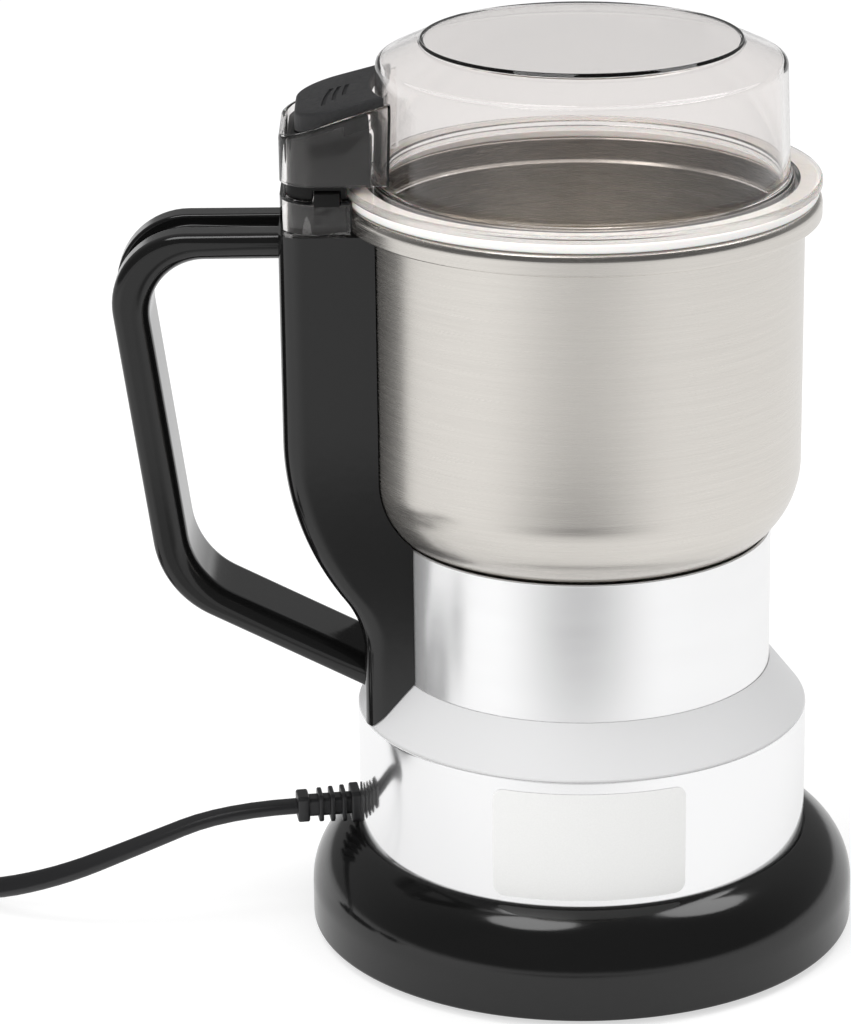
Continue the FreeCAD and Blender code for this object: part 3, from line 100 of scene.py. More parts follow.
class MillColours(bpy.types.PropertyGroup):
    """Colours of the mill's finishes."""

    black: tint("Black moulding", "Base, column and handle", (0.006, 0.006, 0.006))
    steel: tint("Polished steel", "Covers round the motor", (0.93, 0.93, 0.935))
    brushed: tint("Brushed steel", "Bowl", (0.69, 0.662, 0.622))
    smoke: tint("Smoked plastic", "Lid and column cap", (0.965, 0.945, 0.935))
    seal: tint("Seal", "Silicone ring under the lid", (0.82, 0.82, 0.80))
    pad: tint("Press pad", "Textured pad on the lid's arm", (0.020, 0.020, 0.021))
    label: tint("Label", "Bare film on the lower cover", (0.80, 0.80, 0.79))


def sizes():
    return bpy.context.scene.mill_sizes


def colours():
    return bpy.context.scene.mill_colours


# Outlines: lists of points in a plane, in millimetres
def arc(centre_x, centre_y, radius, start, end, steps):
    """Points along an arc, with its angles in degrees."""
    points = []
    for i in range(steps + 1):
        turn = math.radians(start + (end - start) * i / steps)
        points.append((centre_x + radius * math.cos(turn), centre_y + radius * math.sin(turn)))
    return points


def rounded(corners, steps=5, hold=0.25, closed=True):
    """An outline of straight runs with round corners. A corner is x, y and its radius."""
    points = []
    count = len(corners)
    for i, (x, y, radius) in enumerate(corners):
        here = Vector((x, y))
        ends = not closed and i in (0, count - 1)
        if radius <= 0 or ends:
            points.append((x, y))
            continue
        back = Vector(corners[i - 1][:2]) - here
        on = Vector(corners[(i + 1) % count][:2]) - here
        half = back.angle(on) / 2
        reach = min(radius / math.tan(half), 0.48 * back.length, 0.48 * on.length)
        radius = reach * math.tan(half)
        middle = here + (back.normalized() + on.normalized()).normalized() * (radius / math.sin(half))
        first = here + back.normalized() * reach
        last = here + on.normalized() * reach
        if reach + hold < 0.48 * back.length:
            points.append(tuple(first + back.normalized() * hold))
        a = first - middle
        b = last - middle
        for k in range(steps + 1):
            share = k / steps
            angle = a.angle(b)
            spot = (a * math.sin((1 - share) * angle) + b * math.sin(share * angle)) / math.sin(angle)
            points.append(tuple(middle + spot))
        if reach + hold < 0.48 * on.length:
            points.append(tuple(last + on.normalized() * hold))
    return points


def finely(outline, step):
    """A closed outline with no run longer than a step, so that it can be laid on a curved wall."""
    points = []
    for a, b in zip(outline, outline[1:] + outline[:1]):
        count = max(1, math.ceil((Vector(b) - Vector(a)).length / step))
        points += [tuple(Vector(a).lerp(Vector(b), k / count)) for k in range(count)]
    return points


# Meshes
def join_rings(mesh, first, second):
    """Faces between two closed rings of corners. A ring of one corner is a pole."""
    count = max(len(first), len(second))
    if count == 1:
        return
    for i in range(count):
        j = (i + 1) % count
        if len(first) == 1:
            mesh.faces.new((first[0], second[j], second[i]))
        elif len(second) == 1:
            mesh.faces.new((first[i], first[j], second[0]))
        else:
            mesh.faces.new((first[i], first[j], second[j], second[i]))


def turned(outline, steps=TURN_STEPS):
    """A closed piece turned about the Z axis from a half section of radius and height."""
    mesh = bmesh.new()
    rings = []
    for radius, height in outline:
        if radius < 1e-4:
            rings.append([mesh.verts.new((0, 0, height * MM))])
            continue
        ring = []
        for i in range(steps):
            turn = 2 * math.pi * i / steps
            ring.append(mesh.verts.new((radius * math.cos(turn) * MM, radius * math.sin(turn) * MM,
                                        height * MM)))
        rings.append(ring)
    for i in range(len(rings)):
        join_rings(mesh, rings[i], rings[(i + 1) % len(rings)])
    return mesh


def skinned(mesh, rings):
    """A skin over closed rings of corners, with flat ends."""
    for first, second in zip(rings, rings[1:]):
        join_rings(mesh, first, second)
    mesh.faces.new(rings[0][::-1])
    mesh.faces.new(rings[-1])
    return mesh


def lofted(rings):
    """A skin over closed rings of points in millimetres, with flat ends."""
    mesh = bmesh.new()
    return skinned(mesh, [[mesh.verts.new(Vector(p) * MM) for p in ring] for ring in rings])


def bar(outline, start, end, edge, steps=3):
    """A straight piece along X with a given section and round edges at both ends."""
    turns = [math.pi / 2 * i / steps for i in range(steps + 1)]
    rings = [(edge * (1 - math.sin(turn)), start + edge * (1 - math.cos(turn))) for turn in turns]
    rings += [(edge * (1 - math.cos(turn)), end - edge * (1 - math.sin(turn))) for turn in turns]
    return lofted([[(x, y, z) for y, z in inset(outline, far)] for far, x in rings])


def square(half, corner, middle=0.0):
    """A rounded square, level with a height of its middle."""
    return rounded([(-half, middle - half, corner), (half, middle - half, corner),
                    (half, middle + half, corner), (-half, middle + half, corner)], steps=4)


def inset(outline, distance):
    """A closed outline moved inwards, for outlines that run either way round."""
    area = sum(outline[i - 1][0] * outline[i][1] - outline[i][0] * outline[i - 1][1]
               for i in range(len(outline)))
    side = 1 if area > 0 else -1
    moved = []
    count = len(outline)
    for i in range(count):
        before = Vector(outline[i]) - Vector(outline[i - 1])
        after = Vector(outline[(i + 1) % count]) - Vector(outline[i])
        a = Vector((-before.y, before.x)).normalized()
        b = Vector((-after.y, after.x)).normalized()
        both = (a + b).normalized()
        moved.append(tuple(Vector(outline[i]) + both * (side * distance / max(0.5, both.dot(a)))))
    return moved


def object_from(name, mesh):
    bmesh.ops.remove_doubles(mesh, verts=mesh.verts, dist=1e-7)
    bmesh.ops.recalc_face_normals(mesh, faces=mesh.faces)
    data = bpy.data.meshes.new(name)
    mesh.to_mesh(data)
    mesh.free()
    piece = bpy.data.objects.new(name, data)
    bpy.context.scene.collection.objects.link(piece)
    return piece


def smooth(piece, sharp=38.0):
    data = piece.data
    data.polygons.foreach_set("use_smooth", [True] * len(data.polygons))
    data.set_sharp_from_angle(angle=math.radians(sharp))


def plain(piece):
    """Turns a piece and its modifiers into a plain mesh with its place in its corners."""
    bpy.context.view_layer.update()
    shown = piece.evaluated_get(bpy.context.evaluated_depsgraph_get())
    data = bpy.data.meshes.new_from_object(shown)
    data.transform(piece.matrix_world)
    name = piece.name
    bpy.data.objects.remove(piece)
    made = bpy.data.objects.new(name, data)
    bpy.context.scene.collection.objects.link(made)
    return made


def combined(piece, tool, operation):
    """One exact cut or join of two closed meshes, applied at once. The tool is removed."""
    modifier = piece.modifiers.new("cut", "BOOLEAN")
    modifier.operation = operation
    modifier.solver = "EXACT"
    modifier.object = tool
    made = plain(piece)
    bpy.data.objects.remove(tool)
    return made


def cut_away(piece, tool):
    return combined(piece, tool, "DIFFERENCE")


def joined(piece, tool):
    return combined(piece, tool, "UNION")


def softened(name, node, width):
    """A node's own shape with its doubles merged and its sharp edges rounded."""
    mesh = bmesh.new()
    mesh.from_mesh(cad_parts[node].data)
    bmesh.ops.remove_doubles(mesh, verts=mesh.verts, dist=2e-6)
    bmesh.ops.dissolve_limit(mesh, angle_limit=math.radians(1.5), verts=mesh.verts, edges=mesh.edges)
    piece = object_from(name, mesh)
    edges = piece.modifiers.new("edges", "BEVEL")
    edges.width = width
    edges.segments = 2
    edges.limit_method = "ANGLE"
    edges.angle_limit = math.radians(40)
    return plain(piece)


# Node trees
class Nodes:
    """A node tree with short calls for the nodes that it needs."""

    def __init__(self, tree):
        self.tree = tree

    def node(self, kind, inputs=None, **settings):
        """A new node. Each of its inputs is a value or another node's output."""
        made = self.tree.nodes.new(kind)
        for key, value in settings.items():
            setattr(made, key, value)
        for key, value in (inputs or {}).items():
            if isinstance(value, bpy.types.NodeSocket):
                self.tree.links.new(value, made.inputs[key])
            else:
                made.inputs[key].default_value = value
        return made

    def math(self, operation, a, b=0.0):
        return self.node("ShaderNodeMath", {0: a, 1: b}, operation=operation).outputs["Value"]

    def mixed(self, factor, a, b, kind="FLOAT"):
        return self.node("ShaderNodeMix", {"Factor": factor, "A": a, "B": b},
                         data_type=kind).outputs["Result"]

    def spread(self, value, low_value, high_value, from_low=0.0, from_high=1.0, kind="LINEAR"):
        """A value moved from one range to another."""
        return self.node("ShaderNodeMapRange", {"Value": value, "From Min": from_low,
                                                "From Max": from_high, "To Min": low_value,
                                                "To Max": high_value},
                         interpolation_type=kind).outputs["Result"]

    def eased(self, value, low_value, high_value, from_low, from_high):
        """A value moved from one range to another, softly at both ends."""
        return self.spread(value, low_value, high_value, from_low, from_high, "SMOOTHSTEP")


class Pattern(Nodes):
    """A Geometry Nodes tree that repeats a piece, with a named input for each of its sizes."""

    def __init__(self, name):
        super().__init__(bpy.data.node_groups.new(name, "GeometryNodeTree"))
        self.tree.interface.new_socket(name="Piece", in_out="INPUT", socket_type="NodeSocketGeometry")
        self.tree.interface.new_socket(name="Copies", in_out="OUTPUT", socket_type="NodeSocketGeometry")
        self.start = self.tree.nodes.new("NodeGroupInput")
        self.given = {}

    def size(self, name, kind, value):
        """A named input of the tree and the value that this object gives it."""
        item = self.tree.interface.new_socket(name=name, in_out="INPUT", socket_type="NodeSocket" + kind)
        self.given[item.identifier] = value
        return self.start.outputs[name]

    def copies(self, piece, look, **places):
        """Copies of a piece on points, joined into one plain mesh with its finish."""
        places["Instance"] = self.start.outputs["Piece"]
        laid = self.node("GeometryNodeInstanceOnPoints", places)
        real = self.node("GeometryNodeRealizeInstances", {"Geometry": laid.outputs["Instances"]})
        done = self.node("GeometryNodeSetMaterial", {"Geometry": real.outputs["Geometry"], "Material": look})
        out = self.tree.nodes.new("NodeGroupOutput")
        self.tree.links.new(done.outputs["Geometry"], out.inputs["Copies"])
        modifier = piece.modifiers.new("copies", "NODES")
        modifier.node_group = self.tree
        for key, value in self.given.items():
            modifier[key] = value
        return plain(piece)


def ring_of(piece, look, count, radius, first_angle):
    """Copies of a piece evenly round the Z axis, each turned with its place."""
    pattern = Pattern(piece.name + "_ring")
    number = pattern.size("Count", "Int", count)
    reach = pattern.size("Radius", "Float", radius * MM)
    first = pattern.size("First angle", "Float", math.radians(first_angle))
    index = pattern.node("GeometryNodeInputIndex").outputs["Index"]
    turn = pattern.math("MULTIPLY", index, pattern.math("DIVIDE", 2 * math.pi, number))
    turn = pattern.math("ADD", turn, first)
    x = pattern.math("MULTIPLY", reach, pattern.math("COSINE", turn))
    y = pattern.math("MULTIPLY", reach, pattern.math("SINE", turn))
    spot = pattern.node("ShaderNodeCombineXYZ", {"X": x, "Y": y}).outputs["Vector"]
    aim = pattern.node("ShaderNodeCombineXYZ", {"Z": turn}).outputs["Vector"]
    points = pattern.node("GeometryNodePoints", {"Count": number, "Position": spot})
    return pattern.copies(piece, look, Points=points.outputs["Points"], Rotation=aim)


def row_of(piece, look, count, start, step, growth=0.0):
    """Copies of a piece along a line, each one a share larger across the line than the first."""
    pattern = Pattern(piece.name + "_row")
    number = pattern.size("Count", "Int", count)
    first = pattern.size("Start", "Vector", Vector(start) * MM)
    pace = pattern.size("Step", "Vector", Vector(step) * MM)
    more = pattern.size("Growth", "Float", growth)
    index = pattern.node("GeometryNodeInputIndex").outputs["Index"]
    across = pattern.math("ADD", pattern.math("MULTIPLY", index, more), 1.0)
    scale = pattern.node("ShaderNodeCombineXYZ", {"X": 1.0, "Y": across, "Z": across}).outputs["Vector"]
    points = pattern.node("GeometryNodeMeshLine", {"Count": number, "Start Location": first,
                                                   "Offset": pace}, mode="OFFSET")
    return pattern.copies(piece, look, Points=points.outputs["Mesh"], Scale=scale)


def set_in_place(piece, look, body, slot, *nodes, sharp=38.0):
    """Gives a finished piece its finish, its body and the nodes that it stands for."""
    piece.data.materials.clear()
    piece.data.materials.append(look)
    smooth(piece, sharp)
    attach(piece, body)
    if nodes:
        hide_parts(*nodes)
    return piece


def dress(node, look):
    """A new finish for a piece that keeps its own shape."""
    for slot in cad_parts[node].material_slots:
        slot.material = look


# Finishes
class Finish(Nodes):
    """A material with short calls for what its surface needs."""

    def __init__(self, name, colour, roughness, metallic=0.0):
        self.material = bpy.data.materials.new(name)
        self.material.use_nodes = True
        super().__init__(self.material.node_tree)
        self.shader = self.tree.nodes["Principled BSDF"]
        self.shader.inputs["Base Color"].default_value = (*colour, 1.0)
        self.shader.inputs["Roughness"].default_value = roughness
        self.shader.inputs["Metallic"].default_value = metallic

    def join(self, output, target):
        self.tree.links.new(output, self.shader.inputs[target])

    def show(self, shader):
        self.tree.links.new(shader, self.tree.nodes["Material Output"].inputs["Surface"])

    def place(self):
        return self.node("ShaderNodeTexCoord").outputs["Object"]

    def parts(self):
        """The place on the piece, as the outputs X, Y and Z."""
        return self.node("ShaderNodeSeparateXYZ", {"Vector": self.place()}).outputs

    def reach(self, parts):
        """Distance from the Z axis."""
        level = self.node("ShaderNodeCombineXYZ", {"X": parts["X"], "Y": parts["Y"]})
        return self.node("ShaderNodeVectorMath", {0: level.outputs["Vector"]},
                         operation="LENGTH").outputs["Value"]

    def noise(self, scale, detail=2.0, roughness=0.5, stretch=(1.0, 1.0, 1.0), vector=None):
        vector = vector or self.node("ShaderNodeMapping", {"Vector": self.place(),
                                                           "Scale": stretch}).outputs["Vector"]
        made = self.node("ShaderNodeTexNoise", {"Vector": vector, "Scale": scale, "Detail": detail,
                                                "Roughness": roughness})
        return made.outputs["Fac"]

    def between(self, factor, first, second):
        """A colour between two colours."""
        return self.mixed(factor, (*first, 1.0), (*second, 1.0), "RGBA")

    def bump(self, height, distance, strength=1.0):
        made = self.node("ShaderNodeBump", {"Height": height, "Distance": distance,
                                            "Strength": strength})
        self.join(made.outputs["Normal"], "Normal")

    def see_through_for_lamps(self, colour):
        """Lets the lamps' rays through, tinted, so that what is inside is lit."""
        film = self.node("ShaderNodeBsdfTransparent", {"Color": (*colour, 1.0)})
        path = self.node("ShaderNodeLightPath")
        both = self.node("ShaderNodeMixShader", {"Fac": path.outputs["Is Shadow Ray"],
                                                 1: self.shader.outputs["BSDF"],
                                                 2: film.outputs["BSDF"]})
        self.show(both.outputs["Shader"])

    def set(self, **values):
        for key, value in values.items():
            self.shader.inputs[key.replace("_", " ")].default_value = value


def darker(colour, share):
    return tuple(c * share for c in colour)


MADE = {}


def finish(name):
    """One material of each finish, built when it is first asked for."""
    if name not in MADE:
        MADE[name] = BUILDERS[name]()
    return MADE[name]


def gloss_black():
    """Polished black moulding: a faint orange peel and slightly uneven gloss."""
    f = Finish("gloss_black_moulding", colours().black, 0.11)
    f.set(Specular_IOR_Level=0.5)
    f.join(f.spread(f.noise(60.0, 3.0), 0.08, 0.15), "Roughness")
    f.bump(f.noise(420.0, 1.0), 0.00002, 0.5)
    return f.material


def satin_black():
    """Black moulding with a softer gloss, as on parts that are not polished."""
    f = Finish("satin_black_moulding", colours().black, 0.32)
    f.join(f.spread(f.noise(90.0, 3.0), 0.26, 0.38), "Roughness")
    f.bump(f.noise(900.0, 2.0), 0.00003, 0.4)
    return f.material


def textured_black():
    """Spark-textured pad: a fine even grain that breaks up the light."""
    f = Finish("textured_black_pad", colours().pad, 0.55)
    grain = f.noise(2600.0, 3.0, 0.6)
    f.join(f.between(grain, darker(colours().pad, 0.6), darker(colours().pad, 1.6)), "Base Color")
    f.set(Specular_IOR_Level=0.35)
    f.join(f.spread(f.noise(700.0, 2.0), 0.46, 0.62), "Roughness")
    f.bump(grain, 0.00012, 0.8)
    return f.material


def polished_steel():
    """Bright polished sheet with hardly visible polishing haze."""
    f = Finish("polished_steel_sheet", colours().steel, 0.22, 0.75)
    haze = f.noise(40.0, 4.0, stretch=(1.0, 1.0, 6.0))
    f.join(f.spread(haze, 0.18, 0.26), "Roughness")
    f.join(f.between(haze, colours().steel, darker(colours().steel, 0.965)), "Base Color")
    return f.material


def cover_steel():
    """Lower cover: polished wall, and above the bend a painted reflection: a rougher, pale, nearly non-metal
    shoulder that the lamps light to the bright grey a polished cone would mirror.
    """
    f = Finish("lower_cover_sheet_steel", colours().steel, 0.16, 1.0)
    haze = f.noise(60.0, 4.0, stretch=(1.0, 1.0, 6.0))
    rise = f.parts()["Z"]
    bend = cover_shoulder_z() * MM
    below = bend - 0.3 * MM
    above = bend + 0.5 * MM
    # Painted reflection: above the bend the roughness rises, the metal fades out and the colour turns pale
    # grey, so the shoulder gets its brightness from diffuse light
    duller = f.spread(rise, 0.0, 0.35, bend - 0.4 * MM, bend + 0.6 * MM)
    f.join(f.math("ADD", f.spread(haze, 0.07, 0.12), duller), "Roughness")
    f.join(f.spread(rise, 0.95, 0.05, below, above), "Metallic")
    f.join(f.between(f.spread(rise, 0.0, 1.0, below, above), colours().steel,
                     darker(colours().steel, 0.78)), "Base Color")
    return f.material


def dark_moulding():
    """Dull black moulding behind the clear parts: the socket and the insert."""
    f = Finish("dull_black_moulding", (0.006, 0.006, 0.006), 0.5)
    tone = f.noise(120.0, 3.0)
    f.join(f.spread(tone, 0.42, 0.58), "Roughness")
    f.join(f.between(tone, (0.004, 0.004, 0.004), (0.008, 0.008, 0.008)), "Base Color")
    f.set(Specular_IOR_Level=0.2)
    return f.material


def round_the_axis(f, along, across):
    """Coordinates whose fine direction runs round the Z axis, for brushing done on a lathe."""
    parts = f.parts()
    fine = f.math("MULTIPLY", f.math("ADD", f.reach(parts), parts["Z"]), across)
    made = f.node("ShaderNodeCombineXYZ", {"X": f.math("MULTIPLY", parts["X"], along),
                                           "Y": f.math("MULTIPLY", parts["Y"], along), "Z": fine})
    return made.outputs["Vector"]


def brushed_steel():
    """Bowl steel brushed on a lathe: fine lines round the axis, with a few deeper ones."""
    f = Finish("brushed_steel_bowl", colours().brushed, 0.33, 1.0)
    fine = f.noise(1.0, 3.0, 0.6, vector=round_the_axis(f, 60.0, 9000.0))
    broad = f.noise(1.0, 2.0, 0.5, vector=round_the_axis(f, 20.0, 1100.0))
    lines = f.mixed(0.3, fine, broad)
    f.join(f.between(f.spread(lines, 0.0, 1.0, 0.3, 0.7), darker(colours().brushed, 0.93),
                     darker(colours().brushed, 1.05)), "Base Color")
    f.join(f.spread(fine, 0.20, 0.30, 0.25, 0.75), "Roughness")
    f.set(Anisotropic=0.55)
    f.bump(fine, 0.00001, 0.3)
    return f.material


def ground_steel():
    """Blade and nut: ground steel with short straight lines."""
    f = Finish("ground_steel_blade", (0.60, 0.60, 0.59), 0.28, 1.0)
    lines = f.noise(1.0, 3.0, 0.6, stretch=(60.0, 4200.0, 60.0))
    f.join(f.spread(lines, 0.2, 0.38, 0.3, 0.7), "Roughness")
    f.bump(lines, 0.00002, 0.3)
    return f.material


def plated_steel():
    """Zinc-plated screws and springs."""
    f = Finish("plated_steel", (0.55, 0.55, 0.56), 0.3, 1.0)
    f.join(f.spread(f.noise(500.0, 3.0), 0.22, 0.42), "Roughness")
    return f.material


def nickel():
    """Plug pins."""
    f = Finish("nickel_pins", (0.70, 0.69, 0.66), 0.2, 1.0)
    f.join(f.spread(f.noise(300.0, 3.0), 0.14, 0.28), "Roughness")
    return f.material


def brass():
    f = Finish("turned_brass", (0.72, 0.56, 0.28), 0.3, 1.0)
    f.join(f.spread(f.noise(1.0, 2.0, vector=round_the_axis(f, 60.0, 3000.0)), 0.2, 0.4), "Roughness")
    return f.material


def copper():
    """Enamelled winding wire."""
    f = Finish("enamelled_copper", (0.60, 0.28, 0.13), 0.35, 1.0)
    wires = f.noise(1.0, 2.0, vector=round_the_axis(f, 80.0, 2500.0))
    f.join(f.between(wires, (0.42, 0.17, 0.07), (0.70, 0.34, 0.17)), "Base Color")
    f.bump(wires, 0.0001, 0.5)
    return f.material


def lamination():
    """Stacked iron sheets, seen as fine level lines."""
    f = Finish("stacked_iron_sheets", (0.22, 0.22, 0.23), 0.5, 1.0)
    lines = f.noise(1.0, 1.0, stretch=(30.0, 30.0, 2600.0))
    f.join(f.between(lines, (0.13, 0.13, 0.14), (0.32, 0.32, 0.33)), "Base Color")
    f.bump(lines, 0.00005, 0.5)
    return f.material


def natural_nylon():
    f = Finish("natural_nylon", (0.72, 0.70, 0.64), 0.5)
    f.join(f.spread(f.noise(120.0, 3.0), 0.42, 0.58), "Roughness")
    f.set(Subsurface_Weight=0.1, Subsurface_Scale=0.002)
    return f.material


def moulded_grey():
    f = Finish("moulded_switch_case", (0.05, 0.05, 0.055), 0.5)
    f.join(f.spread(f.noise(200.0, 3.0), 0.42, 0.6), "Roughness")
    return f.material


def moulded_red():
    f = Finish("moulded_switch_button", (0.55, 0.05, 0.04), 0.45)
    f.join(f.spread(f.noise(400.0, 3.0), 0.36, 0.52), "Roughness")
    return f.material


def carbon():
    f = Finish("pressed_carbon", (0.03, 0.03, 0.03), 0.6)
    f.join(f.between(f.noise(1500.0, 3.0), (0.02, 0.02, 0.02), (0.06, 0.06, 0.06)), "Base Color")
    return f.material


def rubber():
    """Feet: matte rubber."""
    f = Finish("foot_rubber", (0.025, 0.025, 0.025), 0.75)
    f.join(f.spread(f.noise(300.0, 4.0), 0.66, 0.85), "Roughness")
    f.bump(f.noise(1800.0, 2.0), 0.00006, 0.5)
    return f.material


def cord_sheath():
    """Cord, strain relief and plug: satin black sheath with a faint draw grain."""
    f = Finish("cord_sheath", (0.014, 0.014, 0.015), 0.38)
    f.join(f.spread(f.noise(220.0, 3.0), 0.32, 0.46), "Roughness")
    f.bump(f.noise(1500.0, 2.0), 0.00004, 0.5)
    return f.material


def white_silicone():
    f = Finish("white_silicone", colours().seal, 0.42)
    f.join(f.spread(f.noise(150.0, 3.0), 0.36, 0.5), "Roughness")
    f.set(Subsurface_Weight=0.25, Subsurface_Scale=0.0015)
    return f.material


def label_film():
    """Bare silvery film with a fine grain."""
    f = Finish("label_film", colours().label, 0.36, 0.1)
    grain = f.noise(3200.0, 2.0)
    f.join(f.between(grain, darker(colours().label, 0.95), darker(colours().label, 1.04)), "Base Color")
    f.join(f.spread(f.noise(180.0, 3.0), 0.3, 0.42), "Roughness")
    f.bump(grain, 0.00002, 0.4)
    return f.material


def smoke_clear():
    """Smoked clear plastic that bends what is behind it and lets the lamps through."""
    f = Finish("smoked_clear_plastic", colours().smoke, 0.03)
    f.set(Transmission_Weight=1.0, IOR=1.4)
    f.join(f.spread(f.noise(50.0, 2.0), 0.015, 0.045), "Roughness")
    f.see_through_for_lamps(colours().smoke)
    return f.material


BUILDERS = {build.__name__: build for build in (
    gloss_black, satin_black, textured_black, polished_steel, cover_steel, dark_moulding, brushed_steel,
    ground_steel, plated_steel, nickel, brass, copper, lamination, natural_nylon, moulded_grey,
    moulded_red, carbon, rubber, cord_sheath, white_silicone, label_film, smoke_clear)}


# Shared places, in millimetres
skirt_lip_gap = 0.3
shoulder_rise = 11.1
sleeve_gap = 0.05
bowl_round = 21.0
rim_height = 4.9
rim_reach = 3.8
lid_flange = 1.9
arm_gap = 3.2
arm_height = 10.2
arm_slope = 0.333
pad_sink = 1.2
pad_proud = 3.3
pad_slope = 0.263
column_reach_curve = 62.0
column_foot_curve = 20.1
column_curve_start = 48.2
column_foot_face = 50.2
relief_swing = 8.0


def cover_shoulder_z():
    """Height where the lower cover's wall turns into its sloped shoulder."""
    run = radius_of("lower_cover") - radius_of("upper_sleeve")
    return top_of("lower_cover") - shoulder_rise * (run - sleeve_gap) / run


# Piece makers
class MILL_OT_base_skirt(bpy.types.Operator):
    """Black base with a rounded top and a lip round the steel cover"""

    bl_idname = "mill.base_skirt"
    bl_label = "Base skirt"

    wall: length("Wall", "Thickness of the skirt", 2.2 * MM)
    crown: length("Crown", "Radius of the rounded top", 15.5 * MM)

    def execute(self, context):
        outer = radius_of("base_skirt")
        floor = bottom_of("base_skirt")
        lip_top = top_of("base_skirt")
        lip = radius_of("lower_cover") + skirt_lip_gap
        crown = self.crown / MM
        wall = self.wall / MM
        centre = outer - crown
        crown_z = lip_top - math.sqrt(crown ** 2 - (lip - centre) ** 2)
        end = math.degrees(math.atan2(lip_top - crown_z, lip - centre))
        ledge = lip_top - 1.5
        inner_lip = radius_of("lower_cover") - 4.8
        under = ledge - wall
        inner_end = math.degrees(math.asin((under - crown_z) / (crown - wall)))
        corners = [(outer, floor, 0.8), (outer, crown_z - 0.4, 0)]
        corners += [(x, z, 0) for x, z in arc(centre, crown_z, crown, 0, end - 2.5, 28)]
        corners += [(lip, lip_top, 0.5), (lip, ledge, 0), (inner_lip, ledge, 0), (inner_lip, under, 0)]
        corners += [(x, z, 0) for x, z in arc(centre, crown_z, crown - wall, inner_end, 0, 16)]
        corners += [(outer - wall, floor, 0.4)]
        piece = object_from("base_skirt_moulding", turned(rounded(corners)))
        set_in_place(piece, finish("gloss_black"), "housing", "gloss_black", "base_skirt")
        return {"FINISHED"}


class MILL_OT_steel_covers(bpy.types.Operator):
    """Polished lower cover with its sloped shoulder, and the narrower sleeve above it"""

    bl_idname = "mill.steel_covers"
    bl_label = "Steel covers"

    bend: length("Bend", "Outer radius where the sheet is bent", 0.9 * MM)

    def execute(self, context):
        sheet = sizes().sheet / MM
        cover = radius_of("lower_cover")
        sleeve = radius_of("upper_sleeve")
        hole = sleeve + sleeve_gap
        bend_z = cover_shoulder_z()
        edge_z = top_of("lower_cover")
        slope = math.atan2(shoulder_rise, cover - sleeve)
        shift = sheet * math.tan(slope / 2)
        outline = rounded([
            (cover, bottom_of("lower_cover"), 0), (cover, bend_z, self.bend / MM), (hole, edge_z, 0.1),
            (hole, edge_z - sheet / math.cos(slope), 0), (cover - sheet, bend_z - shift, 0.3),
            (cover - sheet, bottom_of("lower_cover"), 0)], steps=8)
        lower = object_from("lower_cover_sheet", turned(outline))
        set_in_place(lower, finish("cover_steel"), "housing", "polished_cover", "lower_cover")
        outline = rounded([
            (sleeve, bottom_of("upper_sleeve"), 0.1), (sleeve, top_of("upper_sleeve"), 0.25),
            (sleeve - sheet, top_of("upper_sleeve"), 0.25), (sleeve - sheet, bottom_of("upper_sleeve"), 0.1)])
        upper = object_from("upper_sleeve_sheet", turned(outline))
        set_in_place(upper, finish("polished_steel"), "housing", "polished_cover", "upper_sleeve")
        return {"FINISHED"}


class MILL_OT_label(bpy.types.Operator):
    """Bare film label on the lower cover"""

    bl_idname = "mill.label"
    bl_label = "Label"

    corner: length("Corner", "Radius of the label's corners", 2.5 * MM)

    def execute(self, context):
        first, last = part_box("rating_label")
        half = math.asin(last.x / (radius_of("lower_cover") * MM)) * radius_of("lower_cover")
        bottom = first.z / MM
        top = last.z / MM
        corner = self.corner / MM
        outline = finely(rounded([(-half, bottom, corner), (half, bottom, corner), (half, top, corner),
                                  (-half, top, corner)], steps=8, hold=0.5), 1.2)
        glue = 0.02
        film = 0.12
        inner = radius_of("lower_cover") + glue
        outer = inner + film
        middle_z = (bottom + top) / 2
        mesh = bmesh.new()
        rings = []
        rows = 28
        for reach in (inner, outer):
            grid = []
            for share in [1 - i / rows for i in range(rows)]:
                ring = []
                for x, z in outline:
                    turn = x * share / outer
                    ring.append(mesh.verts.new(Vector((reach * math.sin(turn), -reach * math.cos(turn),
                                                       middle_z + (z - middle_z) * share)) * MM))
                grid.append(ring)
            grid.append([mesh.verts.new(Vector((0, -reach, middle_z)) * MM)])
            rings.append(grid)
        for grid in rings:
            for i in range(len(grid) - 1):
                join_rings(mesh, grid[i], grid[i + 1])
        join_rings(mesh, rings[0][0], rings[1][0])
        piece = object_from("label_plate", mesh)
        set_in_place(piece, finish("label_film"), "housing", "label_film", "rating_label", sharp=50)
        return {"FINISHED"}


class MILL_OT_bowl(bpy.types.Operator):
    """Brushed steel bowl with a large round edge below and a turned-down rim"""

    bl_idname = "mill.bowl"
    bl_label = "Bowl"

    def execute(self, context):
        wall = sizes().bowl_wall / MM
        rim = radius_of("bowl")
        outer = rim - rim_reach
        bottom = bottom_of("bowl")
        rim_top = top_of("bowl")
        rim_under = rim_top - rim_height
        centre = outer - bowl_round
        centre_z = bottom + bowl_round
        hole = 8.25
        corners = [(hole, bottom, 0)]
        corners += [(x, z, 0) for x, z in arc(centre, centre_z, bowl_round, -90, 0, 32)]
        corners += [(outer, rim_top - wall, 0.3), (rim - wall, rim_top - wall, 0.5),
                    (rim - wall, rim_under, 0.3), (rim, rim_under, 0.5), (rim, rim_top, 1.9),
                    (outer - wall, rim_top, 0.7)]
        corners += [(x, z, 0) for x, z in arc(centre, centre_z, bowl_round - wall, 0, -90, 32)]
        corners += [(hole, bottom + wall, 0)]
        piece = object_from("bowl_shell", turned(rounded(corners)))
        set_in_place(piece, finish("brushed_steel"), "housing", "brushed_bowl", "bowl")
        return {"FINISHED"}


